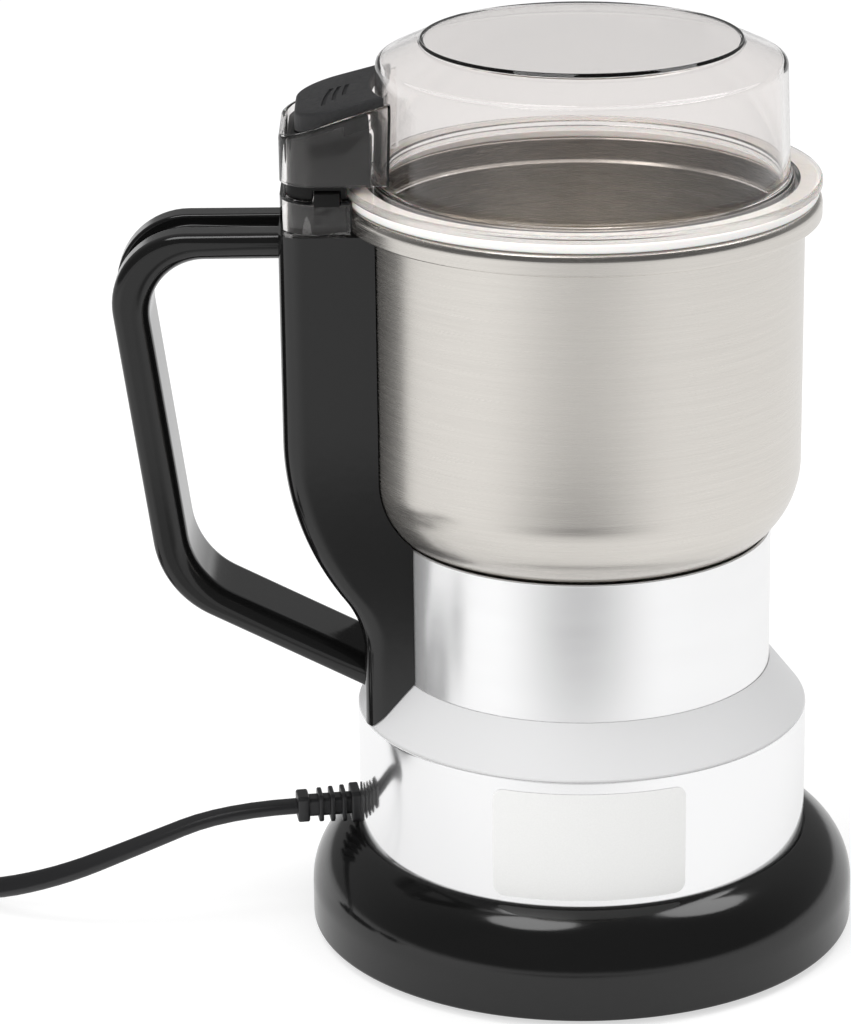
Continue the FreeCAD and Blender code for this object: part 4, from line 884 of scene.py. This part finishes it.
class MILL_OT_blade(bpy.types.Operator):
    """Swept blade and the fittings at the bottom of the bowl"""

    bl_idname = "mill.blade"
    bl_label = "Blade"

    def execute(self, context):
        dress("blade", finish("ground_steel"))
        dress("blade_nut", finish("ground_steel"))
        dress("bowl_nut", finish("brass"))
        dress("shaft_seal", finish("rubber"))
        return {"FINISHED"}


def lid_places():
    """Radii and heights of the lid, in millimetres."""
    flange = radius_of("clear_lid")
    top = top_of("clear_lid")
    seal_top = top_of("lid_seal")
    return {"flange": flange, "wall": flange - 7.2, "shoulder": flange - 8.1, "disc": flange - 18.1,
            "seal_top": seal_top, "flange_top": seal_top + lid_flange, "shoulder_z": top - 4.95,
            "top": top, "spigot": flange - 5.2, "spigot_bottom": bottom_of("clear_lid")}


def arm_plan(face, half, corner, reach, steps=8):
    """Plan of the lid's arm: out from the dome, round two corners and back, as an open line."""
    start = -math.sqrt(reach ** 2 - half ** 2)
    return rounded([(start, half, 0), (-face, half, corner), (-face, -half, corner),
                    (start, -half, 0)], steps=steps, hold=0.6, closed=False)


def arm_top(x):
    """Height of the arm's sloped top, x being the distance out from the bowl's axis."""
    face = -low("column_cap").x
    return top_of("column_cap") + arm_gap + arm_height + arm_slope * (face - x)


class MILL_OT_lid(bpy.types.Operator):
    """Clear lid with its flange, raised disc and arm box, and the seal under it"""

    bl_idname = "mill.lid"
    bl_label = "Clear lid"

    def execute(self, context):
        p = lid_places()
        wall = sizes().lid_wall / MM
        # Outside first, then the inner side, each corner moved in square to the runs that meet there
        corners = [
            (p["spigot"] - 1.4, p["spigot_bottom"], 0.3), (p["spigot"], p["spigot_bottom"], 0.3),
            (p["spigot"], p["seal_top"], 0.2), (p["flange"], p["seal_top"], 0.5),
            (p["flange"], p["flange_top"], 0.7), (p["wall"], p["flange_top"], 1.0),
            (p["shoulder"], p["shoulder_z"], 1.6), (p["disc"] + 0.6, p["top"] - 0.6, 0.35),
            (p["disc"], p["top"], 0.4), (0, p["top"], 0), (0, p["top"] - wall, 0),
            (p["disc"] - 0.41 * wall, p["top"] - wall, 0.4),
            (p["disc"] + 0.6 - 0.576 * wall, p["top"] - 0.6 - 0.838 * wall, 0.4),
            (p["shoulder"] - wall, p["shoulder_z"] - 0.65 * wall, 0.5),
            (p["wall"] - wall, p["seal_top"], 0.6), (p["spigot"] - 1.4, p["seal_top"] - 0.1, 0.4)]
        dome = object_from("clear_lid_moulding", turned(rounded(corners)))
        box = object_from("arm_box", self.arm_box(p))
        dome = joined(dome, box)
        set_in_place(dome, finish("smoke_clear"), "lid", "smoke_clear", "clear_lid")
        seal = radius_of("lid_seal")
        inner = p["spigot"] + 0.05
        ring = rounded([(inner, bottom_of("lid_seal"), 0.3), (seal, bottom_of("lid_seal"), 0.7),
                        (seal, p["seal_top"], 0.7), (inner, p["seal_top"], 0.3)])
        seal_piece = object_from("seal_ring", turned(ring))
        set_in_place(seal_piece, finish("white_silicone"), "lid", "white_silicone", "lid_seal")
        return {"FINISHED"}

    def arm_box(self, p):
        face = -low("clear_lid").x
        half = high("column_cap").y
        bottom = top_of("column_cap") + arm_gap
        wall = 1.5
        outer = arm_plan(face, half, 8.0, p["wall"] - 0.6)
        inner = arm_plan(face - wall, half - wall, 8.0 - wall, p["wall"] - 0.6)
        rings = []
        for (ox, oy), (ix, iy) in zip(outer, inner):
            side = Vector((ix - ox, iy - oy))
            ring = []
            for share, drop in ((0.0, None), (0.0, 0.7), (0.08, 0.25), (0.28, 0.0), (0.72, 0.0),
                                (0.92, 0.25), (1.0, 0.7), (1.0, None)):
                x = ox + side.x * share
                y = oy + side.y * share
                ring.append((x, y, bottom if drop is None else arm_top(-x) - drop))
            rings.append(ring)
        return lofted(rings)


class MILL_OT_press_pad(bpy.types.Operator):
    """Textured pad on the lid's arm, with three short curved grooves and its stem"""

    bl_idname = "mill.press_pad"
    bl_label = "Press pad"

    groove_width: length("Groove width", "Width of the finger grooves", 0.95 * MM)
    groove_depth: length("Groove depth", "Depth of the finger grooves", 0.6 * MM)
    groove_pitch: length("Groove pitch", "Distance from one groove to the next", 2.25 * MM)
    grooves = 3
    first_groove = 6.5
    groove_start = -9.8
    groove_shift = 2.5
    groove_end = 4.3
    groove_bend = 60.0
    corner = 13.0
    stem_radius = 2.5
    stem_reach = 57.5

    def top(self, x):
        face = -low("press_pad").x
        return arm_top(face) + pad_proud + pad_slope * (face - x)

    def execute(self, context):
        face = -low("press_pad").x
        half = high("press_pad").y
        reach = lid_places()["wall"] + 0.1
        plan = arm_plan(face, half, self.corner, reach, steps=14)
        start = math.degrees(math.asin(half / reach))
        back = arc(0, 0, reach, 180 + start, 180 - start, 24)[1:-1]
        outline = plan + back
        edge = 0.7
        levels = [(0.4, "under", 0.0), (0.0, "under", 0.4), (0.0, "top", -edge)]
        for i in range(1, 5):
            turn = math.pi / 2 * i / 4
            levels.append((edge * (1 - math.cos(turn)), "top", -edge * (1 - math.sin(turn))))
        rings = []
        for far, base, lift in levels:
            ring = []
            for x, y in inset(outline, far):
                height = self.top(-x) if base == "top" else arm_top(-x) - pad_sink
                ring.append((x, y, height + lift))
            rings.append(ring)
        pad = object_from("press_pad_moulding", lofted(rings))
        for i in range(self.grooves):
            pad = cut_away(pad, self.groove(face - self.first_groove - self.groove_pitch / MM * i,
                                            self.groove_start + self.groove_shift * i))
        foot = bottom_of("press_pad")
        stem_top = arm_top(self.stem_reach) - 0.8
        stem = turned(rounded([(0, foot, 0), (self.stem_radius, foot, 0.3),
                               (self.stem_radius, stem_top, 0), (0, stem_top, 0)]), steps=32)
        bmesh.ops.translate(stem, verts=stem.verts, vec=Vector((-self.stem_reach, 0, 0)) * MM)
        pad = joined(pad, object_from("pad_stem", stem))
        set_in_place(pad, finish("textured_black"), "pad", "pad_black", "press_pad", sharp=50)
        return {"FINISHED"}

    def groove(self, out, near):
        """A slightly bent slot across the pad from its near end, as a closed cutting shape."""
        half = self.groove_width / MM / 2
        depth = self.groove_depth / MM
        bend = self.groove_bend
        turn = math.degrees((self.groove_end - near) / bend)
        outline = arc(-out + bend, near, bend + half, 180 - turn, 180, 16)
        outline += arc(-out + bend, near, bend - half, 180, 180 - turn, 16)
        rings = []
        for far, lift in ((half * 0.7, -depth), (half * 0.25, -depth * 0.7), (0.0, -depth * 0.2),
                          (0.0, 3.0)):
            rings.append([(x, y, self.top(-x) + lift) for x, y in inset(outline, far)])
        return object_from("groove_cut", lofted(rings))


class MILL_OT_column(bpy.types.Operator):
    """Black column that joins the handle to the bowl and follows the motor housing"""

    bl_idname = "mill.column"
    bl_label = "Column"

    corner: length("Corner", "Rounding along the column's outer edges", 5.0 * MM)
    gap: length("Gap", "Room between the column and the bowl", 0.3 * MM)

    def face_line(self):
        """Side line of the column's outer face, from its top to its foot, as x and height."""
        face = -low("handle_column").x
        top = top_of("handle_column")
        start = top - column_curve_start
        turn = math.degrees(math.acos(1 - (face - column_foot_face)
                                      / (column_reach_curve + column_foot_curve)))
        upper = arc(-face + column_reach_curve, start, column_reach_curve, 180, 180 + turn, 24)
        knee = upper[-1]
        centre = (-column_foot_face - column_foot_curve,
                  knee[1] - column_foot_curve * math.sin(math.radians(turn)))
        lower = arc(centre[0], centre[1], column_foot_curve, turn, 0, 14)[1:]
        past = 3.0
        bottom = bottom_of("handle_column") - past
        return [(-face, top)] + upper + lower + [(-column_foot_face, bottom)]

    def execute(self, context):
        half = high("handle_column").y
        corner = self.corner / MM
        inner = -30.0
        line = self.face_line()
        rings = []
        for x, z in line:
            ring = rounded([(inner, half, 0), (x, half, corner), (x, -half, corner), (inner, -half, 0)],
                           steps=8, hold=0.8)
            rings.append([(px, py, z) for px, py in ring])
        column = object_from("column_moulding", lofted(rings))
        column = cut_away(column, object_from("room_for_bowl", self.room_for_bowl()))
        set_in_place(column, finish("gloss_black"), "housing", "gloss_black", "handle_column")
        return {"FINISHED"}

    def room_for_bowl(self):
        """Space of the bowl, sleeve and cover that the column stands clear of."""
        gap = self.gap / MM
        bowl = radius_of("bowl") - rim_reach
        sleeve = radius_of("upper_sleeve")
        cover = radius_of("lower_cover")
        centre = bowl - bowl_round
        centre_z = bottom_of("bowl") + bowl_round
        grown = bowl_round + gap
        meet = math.degrees(math.acos((sleeve + gap - centre) / grown))
        slope = math.atan2(shoulder_rise, cover - sleeve)
        rise = gap / math.cos(slope)
        shoulder = cover_shoulder_z()
        corners = [(0, shoulder - 10), (cover + 20, shoulder - 10), (cover + 20, shoulder + rise),
                   (cover, shoulder + rise),
                   (sleeve + gap, shoulder + shoulder_rise + rise - gap * math.tan(slope))]
        corners += arc(centre, centre_z, grown, -meet, 0, 24)
        corners += [(bowl + gap, top_of("handle_column") + 5), (0, top_of("handle_column") + 5)]
        return turned(corners)


class MILL_OT_handle(bpy.types.Operator):
    """Loop handle: two round rails with a groove between them along the outer side"""

    bl_idname = "mill.handle"
    bl_label = "Handle"

    groove_width: length("Groove width", "Width of the groove between the rails", 9.8 * MM)
    groove_depth: length("Groove depth", "Depth of the groove between the rails", 3.0 * MM)
    reach = 28.5
    lean = 0.134
    knee_rise = 31.0
    foot_rise = 7.5
    thickness = (6.3, 7.9, 6.5)
    outer_rounds = (0, 16.6, 22.9, 0)
    inner_rounds = (0, 12.6, 18.9, 0)
    inner_mark = 40.0

    def lines(self):
        """Corners of the loop's outer side: top end, top corner, knee and foot end."""
        face = -low("handle_column").x
        top = top_of("handle")
        knee = (-face - self.reach, cover_shoulder_z() + self.knee_rise)
        foot = (-column_foot_face, cover_shoulder_z() + self.foot_rise)
        corner = (knee[0] - self.lean * (top - knee[1]), top)
        return [(-face + 1.0, top), corner, knee, foot]

    def execute(self, context):
        outer = self.lines()
        inner = self.moved(outer, self.thickness)
        outer_line, inner_line = (
            rounded([(*corner, radius) for corner, radius in zip(line, rounds)],
                    steps=18, hold=0, closed=False)
            for line, rounds in ((outer, self.outer_rounds), (inner, self.inner_rounds)))
        section = self.section()
        rings = []
        for (ox, oz), (ix, iz) in self.filled(outer_line, inner_line):
            out = Vector((ox - ix, 0, oz - iz))
            out.normalize()
            ring = []
            for y, depth in section:
                if depth > -self.inner_mark / 2:
                    place = Vector((ox, 0, oz)) + out * depth
                else:
                    place = Vector((ix, 0, iz)) + out * (depth + self.inner_mark)
                ring.append((place.x, y, place.z))
            rings.append(ring)
        handle = object_from("handle_loop", lofted(rings))
        set_in_place(handle, finish("gloss_black"), "housing", "gloss_black", "handle")
        return {"FINISHED"}

    def moved(self, outer, thickness):
        """The loop's inner side, each run moved in by its own thickness."""
        lines = []
        for i in range(3):
            a = Vector(outer[i])
            b = Vector(outer[i + 1])
            along = (b - a).normalized()
            side = Vector((-along.y, along.x))
            lines.append((a + side * thickness[i], along))
        corners = [tuple(lines[0][0])]
        for (p, d), (q, e) in zip(lines, lines[1:]):
            cross = d.x * e.y - d.y * e.x
            t = ((q.x - p.x) * e.y - (q.y - p.y) * e.x) / cross
            corners.append(tuple(p + d * t))
        a, along = lines[2]
        reach = (outer[3][0] - a.x) / along.x
        corners.append(tuple(a + along * reach))
        return corners

    def filled(self, outer, inner):
        """Pairs of outer and inner points, with more pairs along the straight runs."""
        pairs = []
        for (a, b), (c, d) in zip(zip(outer, inner), zip(outer[1:], inner[1:])):
            count = max(1, int((Vector(c) - Vector(a)).length / 4.0))
            for k in range(count):
                pairs.append((tuple(Vector(a).lerp(Vector(c), k / count)),
                              tuple(Vector(b).lerp(Vector(d), k / count))))
        pairs.append((outer[-1], inner[-1]))
        return pairs

    def section(self):
        """Cross-section as width and depth: the groove side at 0, the inner side at the inner mark."""
        half = high("handle").y
        edge = sizes().handle_edge / MM
        groove = self.groove_width / MM / 2
        deep = self.groove_depth / MM
        return rounded([(-half, 0, edge), (-groove, 0, 0.8), (-groove, -deep, 0.6), (groove, -deep, 0.6),
                        (groove, 0, 0.8), (half, 0, edge), (half, -self.inner_mark, 3.9),
                        (-half, -self.inner_mark, 3.9)], steps=7, hold=0.15)


class MILL_OT_column_cap(bpy.types.Operator):
    """Clear cap on the column, the dark socket in it and the dark insert in the lid's arm"""

    bl_idname = "mill.column_cap"
    bl_label = "Column cap"

    def execute(self, context):
        for node, look, slot, body, edge in (
                ("column_cap", "smoke_clear", "smoke_clear", "housing", 0.5),
                ("cap_socket", "dark_moulding", "satin_black", "housing", 0.35),
                ("arm_insert", "dark_moulding", "satin_black", "lid", 0.5)):
            piece = softened(node + "_moulding", node, edge * MM)
            set_in_place(piece, finish(look), body, slot, node)
        return {"FINISHED"}


class MILL_OT_strain_relief(bpy.types.Operator):
    """Square collar, ribs and core where the cord leaves the lower cover"""

    bl_idname = "mill.strain_relief"
    bl_label = "Strain relief"

    collar: length("Collar", "Width of the square collar", 6.3 * MM)
    collar_length: length("Collar length", "Length of the square collar", 2.8 * MM)
    core: length("Core", "Width of the core between the ribs", 4.4 * MM)
    first_rib: length("First rib", "Width of the rib beside the collar", 6.6 * MM)
    last_rib: length("Last rib", "Width of the rib beside the cover", 7.6 * MM)
    ribs: bpy.props.IntProperty(name="Ribs", description="How many ribs stand on the core", default=3,
                                min=2, max=12)

    def execute(self, context):
        outer = low("strain_relief").x
        wall = -radius_of("lower_cover")
        z = (top_of("strain_relief") + bottom_of("strain_relief")) / 2
        half = self.collar / MM / 2
        collar_end = outer + self.collar_length / MM
        body = object_from("relief_collar", bar(square(half, 0.9, z), outer, collar_end, 0.5))
        core = bar(square(self.core / MM / 2, 0.8, z), outer + 1.0, wall + 2.0, 0.3)
        body = joined(body, object_from("relief_core", core))
        flange = bar(square(self.last_rib / MM / 2, 1.0, z), wall - 2.4, wall - 0.2, 0.4)
        body = joined(body, object_from("relief_flange", flange))
        self.swing(body)
        set_in_place(body, finish("cord_sheath"), "housing", "cord_black", "strain_relief")
        first = self.first_rib / MM / 2
        rib = object_from("relief_rib", bar(square(first, 1.0), -0.55, 0.55, 0.3))
        pitch = (wall - 1.4 - collar_end) / (self.ribs + 1)
        growth = (self.last_rib / self.first_rib - 1) / (self.ribs + 1)
        ribs = row_of(rib, finish("cord_sheath"), self.ribs, (collar_end + pitch, 0, z),
                      (pitch, 0, 0), growth)
        self.swing(ribs)
        set_in_place(ribs, finish("cord_sheath"), "housing", "cord_black")
        return {"FINISHED"}

    def swing(self, piece):
        """Turns a piece of the relief a little to the front about its place on the cover."""
        root = Vector((-radius_of("lower_cover") * MM, 0, 0))
        turn = Matrix.Rotation(math.radians(relief_swing), 4, "Z")
        piece.data.transform(Matrix.Translation(root) @ turn @ Matrix.Translation(-root))


# The cord's route, in millimetres: given points, then a coil on the table and a short tail
def cord_route():
    wall = radius_of("lower_cover")
    reach = -low("strain_relief").x - wall
    turn = math.radians(relief_swing)
    exit_x = -wall - reach * math.cos(turn)
    exit_y = -reach * math.sin(turn)
    height = (top_of("strain_relief") + bottom_of("strain_relief")) / 2
    lead = [(exit_x, exit_y, height), (-84, -4.4, height), (-104, -6.0, 20.6), (-124, -4, 11.6),
            (-145, 6, 3.6), (-155, 24, 2.5), (-169, 44.4, 2.5)]
    tail = [(-233, -12, 8.1), (-233, -21.5, 6.7), (-233, -34, 6.7)]
    return [Vector(p) for p in lead], coil_points(), [Vector(p) for p in tail]


def coil_points():
    """Sixteen points a turn: spiral in on the table, climb a layer, and spiral out again."""
    centre = Vector((-196.0, 8.0, 0.0))
    per_turn = 16
    pitch = 5.6
    turns = 3
    first = 36.0
    lowest = 2.5
    layer = 5.6
    climb = per_turn // 2
    into = per_turn * turns
    total = 2 * into + climb
    swell = 1.012
    points = []
    for i in range(total - per_turn // 4 + 1):
        if i <= into:
            radius = first - pitch * i / per_turn
            height = lowest
        elif i < into + climb:
            radius = first - pitch * (into + 2) / per_turn
            height = lowest + layer * (i - into) / climb
        else:
            radius = first - pitch * (total - i) / per_turn
            height = lowest + layer
        turn = math.radians(90 + 360 * i / per_turn)
        points.append(centre + Vector((math.cos(turn), math.sin(turn), 0)) * radius * swell
                      + Vector((0, 0, height)))
    return points


def smooth_line(points):
    """Points along one smooth curve whose control points are the route's."""
    curve = bpy.data.curves.new("route", "CURVE")
    curve.dimensions = "3D"
    spline = curve.splines.new("NURBS")
    spline.points.add(len(points) - 1)
    for spot, point in zip(spline.points, points):
        spot.co = (*(point * MM), 1.0)
    spline.order_u = 3
    spline.use_endpoint_u = True
    spline.resolution_u = 6
    holder = bpy.data.objects.new("route", curve)
    bpy.context.scene.collection.objects.link(holder)
    bpy.context.view_layer.update()
    shown = holder.evaluated_get(bpy.context.evaluated_depsgraph_get())
    data = bpy.data.meshes.new_from_object(shown)
    line = [v.co.copy() for v in data.vertices]
    bpy.data.objects.remove(holder)
    bpy.data.meshes.remove(data)
    bpy.data.curves.remove(curve)
    return line


class MILL_OT_cord(bpy.types.Operator):
    """Flat two-core mains cord that twists on its way down, its put-away coil and its plug"""

    bl_idname = "mill.cord"
    bl_label = "Mains cord"

    def execute(self, context):
        lead, coil, tail = cord_route()
        line = smooth_line(lead + coil + tail)
        cord = object_from("mains_cord", self.flat_tube(line))
        set_in_place(cord, finish("cord_sheath"), "housing", "cord_black", "cord_lead", "cord_coil",
                     "cord_tail", sharp=80)
        plug = softened("plug_moulding", "plug_body", 1.2 * MM)
        set_in_place(plug, finish("cord_sheath"), "housing", "cord_black", "plug_body")
        pins = self.pins()
        return {"FINISHED"}

    def pins(self):
        """Two round plug pins with rounded ends, side by side."""
        first = low("plug_pins")
        last = high("plug_pins")
        radius = (last.z - first.z) / 2
        far = last.y - first.y
        pin = turned(rounded([(0, 0, 0), (radius, 0, 0), (radius, far, radius * 0.6), (0, far, 0)]), 32)
        bmesh.ops.rotate(pin, verts=pin.verts, matrix=Matrix.Rotation(math.radians(90), 3, "X"))
        span = last.x - first.x - 2 * radius
        pins = row_of(object_from("plug_pin", pin), finish("nickel"), 2,
                      (first.x + radius, last.y, (first.z + last.z) / 2), (span, 0, 0))
        return set_in_place(pins, finish("nickel"), "housing", "pin_nickel", "plug_pins")

    def flat_tube(self, line):
        """Two round cores side by side, turned about the cord's own line as it goes."""
        thick = sizes().cord_thickness / 2
        apart = sizes().cord_width / 2 - thick
        section = []
        steps = 20
        for i in range(steps):
            turn = 2 * math.pi * i / steps
            side = 1 if math.cos(turn) > 0 else -1
            section.append((side * apart + thick * math.cos(turn), thick * math.sin(turn)))
        mesh = bmesh.new()
        rings = []
        run = 0.0
        for i, here in enumerate(line):
            ahead = line[min(i + 1, len(line) - 1)] - line[max(i - 1, 0)]
            ahead.normalize()
            if i:
                run += (here - line[i - 1]).length
            across = ahead.cross(Vector((0, 0, 1))).normalized()
            up = across.cross(ahead)
            turn = self.twist(run)
            ring = []
            for u, v in section:
                flat = u * math.cos(turn) - v * math.sin(turn)
                tall = u * math.sin(turn) + v * math.cos(turn)
                ring.append(mesh.verts.new(here + across * flat + up * tall))
            rings.append(ring)
        return skinned(mesh, rings)

    def twist(self, run):
        """The cord leaves the relief lying flat and turns on edge before the table."""
        begins = 0.01
        over = 0.075
        whole = 60.0
        share = min(1.0, max(0.0, (run - begins) / over))
        return math.radians(whole * share * share * (3 - 2 * share))


class MILL_OT_underside(bpy.types.Operator):
    """Bottom plate, its rubber feet and the screws that hold the base together"""

    bl_idname = "mill.underside"
    bl_label = "Underside"

    foot_width: length("Foot width", "Width of a rubber foot", 12.0 * MM)
    foot_ring: length("Foot ring", "Distance of the feet from the middle", 50.0 * MM)
    plate_ring: length("Plate ring", "Distance of the plate's screws from the middle", 55.0 * MM)
    tie_ring: length("Tie ring", "Distance of the long screws from the middle", 37.0 * MM)

    def execute(self, context):
        dress("bottom_plate", finish("satin_black"))
        height = top_of("rubber_feet")
        radius = self.foot_width / MM / 2
        foot = turned(rounded([(0, 0.2, 0), (radius - 2.0, 0.2, 0.2), (radius - 1.6, 0, 0.2),
                               (radius, 0, 0.7), (radius, height, 0), (0, height, 0)]), 48)
        feet = ring_of(object_from("foot", foot), finish("rubber"), 4, self.foot_ring / MM, 22.5)
        set_in_place(feet, finish("rubber"), "housing", "foot_rubber", "rubber_feet")
        for node, head, tall, shaft, ring, start in (
                ("plate_screws", 2.9, 1.2, 1.35, self.plate_ring / MM, 45.0),
                ("tie_screws", 3.8, 1.4, 2.0, self.tie_ring / MM, 0.0)):
            screws = ring_of(self.screw(node, head, tall, shaft), finish("plated_steel"), 4, ring, start)
            set_in_place(screws, finish("plated_steel"), "housing", "screw_steel", node)
        return {"FINISHED"}

    def screw(self, node, head, tall, shaft):
        """A screw that points up, with a domed head and a cross in it."""
        bottom = bottom_of(node)
        outline = rounded([(0, bottom, 0), (head, bottom, 0.7), (head, bottom + tall, 0.1),
                           (shaft, bottom + tall, 0.1), (shaft, top_of(node), 0.4), (0, top_of(node), 0)])
        piece = object_from(node[:-1], turned(outline, 32))
        arm = head * 0.62
        wide = head * 0.13
        cross = [(-arm, -wide), (-wide, -wide), (-wide, -arm), (wide, -arm), (wide, -wide), (arm, -wide),
                 (arm, wide), (wide, wide), (wide, arm), (-wide, arm), (-wide, wide), (-arm, wide)]
        recess = [[(x, y, z) for x, y in inset(cross, far)]
                  for far, z in ((0.0, bottom - 1.0), (0.0, bottom), (wide * 0.5, bottom + tall * 0.7))]
        return cut_away(piece, object_from("recess", lofted(recess)))


class MILL_OT_works(bpy.types.Operator):
    """Finishes of the motor, the switch and the other pieces inside"""

    bl_idname = "mill.works"
    bl_label = "Works inside"

    def execute(self, context):
        finishes = {
            "plated_steel": ("motor_screws", "handle_screws", "pad_spring", "rod_spring", "switch_lever",
                             "motor_shaft", "upper_bearing", "lower_bearing"),
            "lamination": ("stator_stack", "armature_core"),
            "copper": ("field_coils", "armature_windings", "commutator"),
            "brass": ("brush_holders",),
            "carbon": ("carbon_brushes",),
            "natural_nylon": ("upper_motor_frame", "lower_motor_frame", "cooling_fan", "push_rod"),
            "moulded_grey": ("switch_case",),
            "moulded_red": ("switch_plunger",),
        }
        for name, nodes in finishes.items():
            for node in nodes:
                dress(node, finish(name))
        return {"FINISHED"}


class MILL_OT_stage(bpy.types.Operator):
    """Pale floor, soft studio light and the camera"""

    bl_idname = "mill.stage"
    bl_label = "Stage"

    def execute(self, context):
        self.floor()
        self.world()
        self.lamp("left_lamp", (-0.27, -0.12, 1.22), 0.50, 2.8)
        self.lamp("right_lamp", (0.56, 0.22, 1.12), 0.50, 2.6)
        front = self.lamp("front_lamp", (-0.70, -0.95, 0.95), 1.0, 7.0)
        front.visible_glossy = False
        self.camera()
        return {"FINISHED"}

    def floor(self):
        mesh = bmesh.new()
        half = 4.0
        mesh.faces.new([mesh.verts.new((x, y, -0.00005)) for x, y in ((-half, -half), (half, -half),
                                                                   (half, half), (-half, half))])
        piece = object_from("studio_floor", mesh)
        f = Finish("studio_floor", (0.5, 0.5, 0.5), 0.9)
        f.set(Specular_IOR_Level=0.0)
        path = f.node("ShaderNodeLightPath")
        level = f.mixed(path.outputs["Is Glossy Ray"], 0.60, self.front_shade(f))
        glow = f.node("ShaderNodeEmission", {"Color": (1, 1, 1, 1), "Strength": level})
        both = f.node("ShaderNodeAddShader", {0: f.shader.outputs["BSDF"], 1: glow.outputs["Emission"]})
        f.show(both.outputs["Shader"])
        piece.data.materials.append(f.material)

    def front_shade(self, f):
        """Glow of the floor that the polished covers mirror: a soft darker zone in front."""
        parts = f.parts()
        turn = f.math("ARCTAN2", parts["X"], f.math("MULTIPLY", parts["Y"], -1.0))
        aside = f.math("ABSOLUTE", f.math("ADD", turn, 0.06))
        reach = f.reach(parts)
        middle = f.eased(aside, 1.0, 0.0, 0.0, 0.85)
        begins = f.eased(reach, 0.12, 1.0, 0.17, 0.26)
        fades = f.eased(reach, 1.0, 0.38, 0.32, 0.40)
        dark = f.math("MULTIPLY", f.math("MULTIPLY", begins, fades), middle)
        return f.spread(dark, 0.44, -0.35)

    def world(self):
        """White for the eye, even for dull surfaces, and white only near the ground for gloss."""
        world = bpy.data.worlds.new("studio")
        bpy.context.scene.world = world
        world.use_nodes = True
        sky = Nodes(world.node_tree)
        way = sky.node("ShaderNodeTexCoord").outputs["Generated"]
        parts = sky.node("ShaderNodeSeparateXYZ", {"Vector": way}).outputs
        in_front = sky.eased(parts["Y"], 0.12, 0.25, -0.30, 0.60)
        gloss = sky.mixed(sky.eased(parts["Z"], 0.0, 1.0, 0.0, 0.10), 0.9, in_front)
        path = sky.node("ShaderNodeLightPath").outputs
        level = sky.mixed(path["Is Glossy Ray"], 0.7, gloss)
        seen = sky.math("MAXIMUM", path["Is Camera Ray"], path["Is Transmission Ray"])
        ground = sky.tree.nodes["Background"]
        ground.inputs["Color"].default_value = (1, 1, 1, 1)
        sky.tree.links.new(sky.mixed(seen, level, 1.0), ground.inputs["Strength"])

    def lamp(self, name, place, size, power):
        data = bpy.data.lights.new(name, "AREA")
        data.shape = "DISK"
        data.size = size
        data.energy = power
        holder = bpy.data.objects.new(name, data)
        holder.location = place
        aim = Vector((0, 0, 0.1)) - Vector(place)
        holder.rotation_euler = aim.to_track_quat("-Z", "Y").to_euler()
        bpy.context.scene.collection.objects.link(holder)
        return holder

    def camera(self):
        data = bpy.data.cameras.new("camera")
        data.lens = 144.79
        data.sensor_width = 36.0
        data.shift_x = -0.1528
        data.clip_start = 0.05
        data.clip_end = 50.0
        holder = bpy.data.objects.new("camera", data)
        holder.location = (-0.03118, -0.8930, 0.4158)
        holder.rotation_euler = (math.radians(70.538), 0.0, math.radians(-2.0))
        bpy.context.scene.collection.objects.link(holder)
        bpy.context.scene.camera = holder
        bpy.context.scene.view_settings.view_transform = "Standard"


class MILL_PT_panel(bpy.types.Panel):
    """Lists the mill's sizes, colours and pieces"""

    bl_label = "Grain mill"
    bl_idname = "MILL_PT_panel"
    bl_space_type = "VIEW_3D"
    bl_region_type = "UI"
    bl_category = "Grain mill"

    def draw(self, context):
        for group in (context.scene.mill_sizes, context.scene.mill_colours):
            box = self.layout.box()
            for name in group.__annotations__:
                box.prop(group, name)
        for piece in PIECES:
            self.layout.operator(piece.bl_idname)


PIECES = (MILL_OT_stage, MILL_OT_cord, MILL_OT_strain_relief, MILL_OT_base_skirt, MILL_OT_underside,
          MILL_OT_steel_covers, MILL_OT_label, MILL_OT_bowl, MILL_OT_blade, MILL_OT_column,
          MILL_OT_handle, MILL_OT_column_cap, MILL_OT_lid, MILL_OT_press_pad, MILL_OT_works)
CLASSES = (MillSizes, MillColours) + PIECES + (MILL_PT_panel,)


def register():
    for made in CLASSES:
        bpy.utils.register_class(made)
    bpy.types.Scene.mill_sizes = bpy.props.PointerProperty(type=MillSizes)
    bpy.types.Scene.mill_colours = bpy.props.PointerProperty(type=MillColours)


def unregister():
    del bpy.types.Scene.mill_colours
    del bpy.types.Scene.mill_sizes
    for made in reversed(CLASSES):
        bpy.utils.unregister_class(made)


def main():
    register()
    for piece in PIECES:
        group, name = piece.bl_idname.split(".")
        getattr(getattr(bpy.ops, group), name)()


if __name__ == "__main__":
    main()
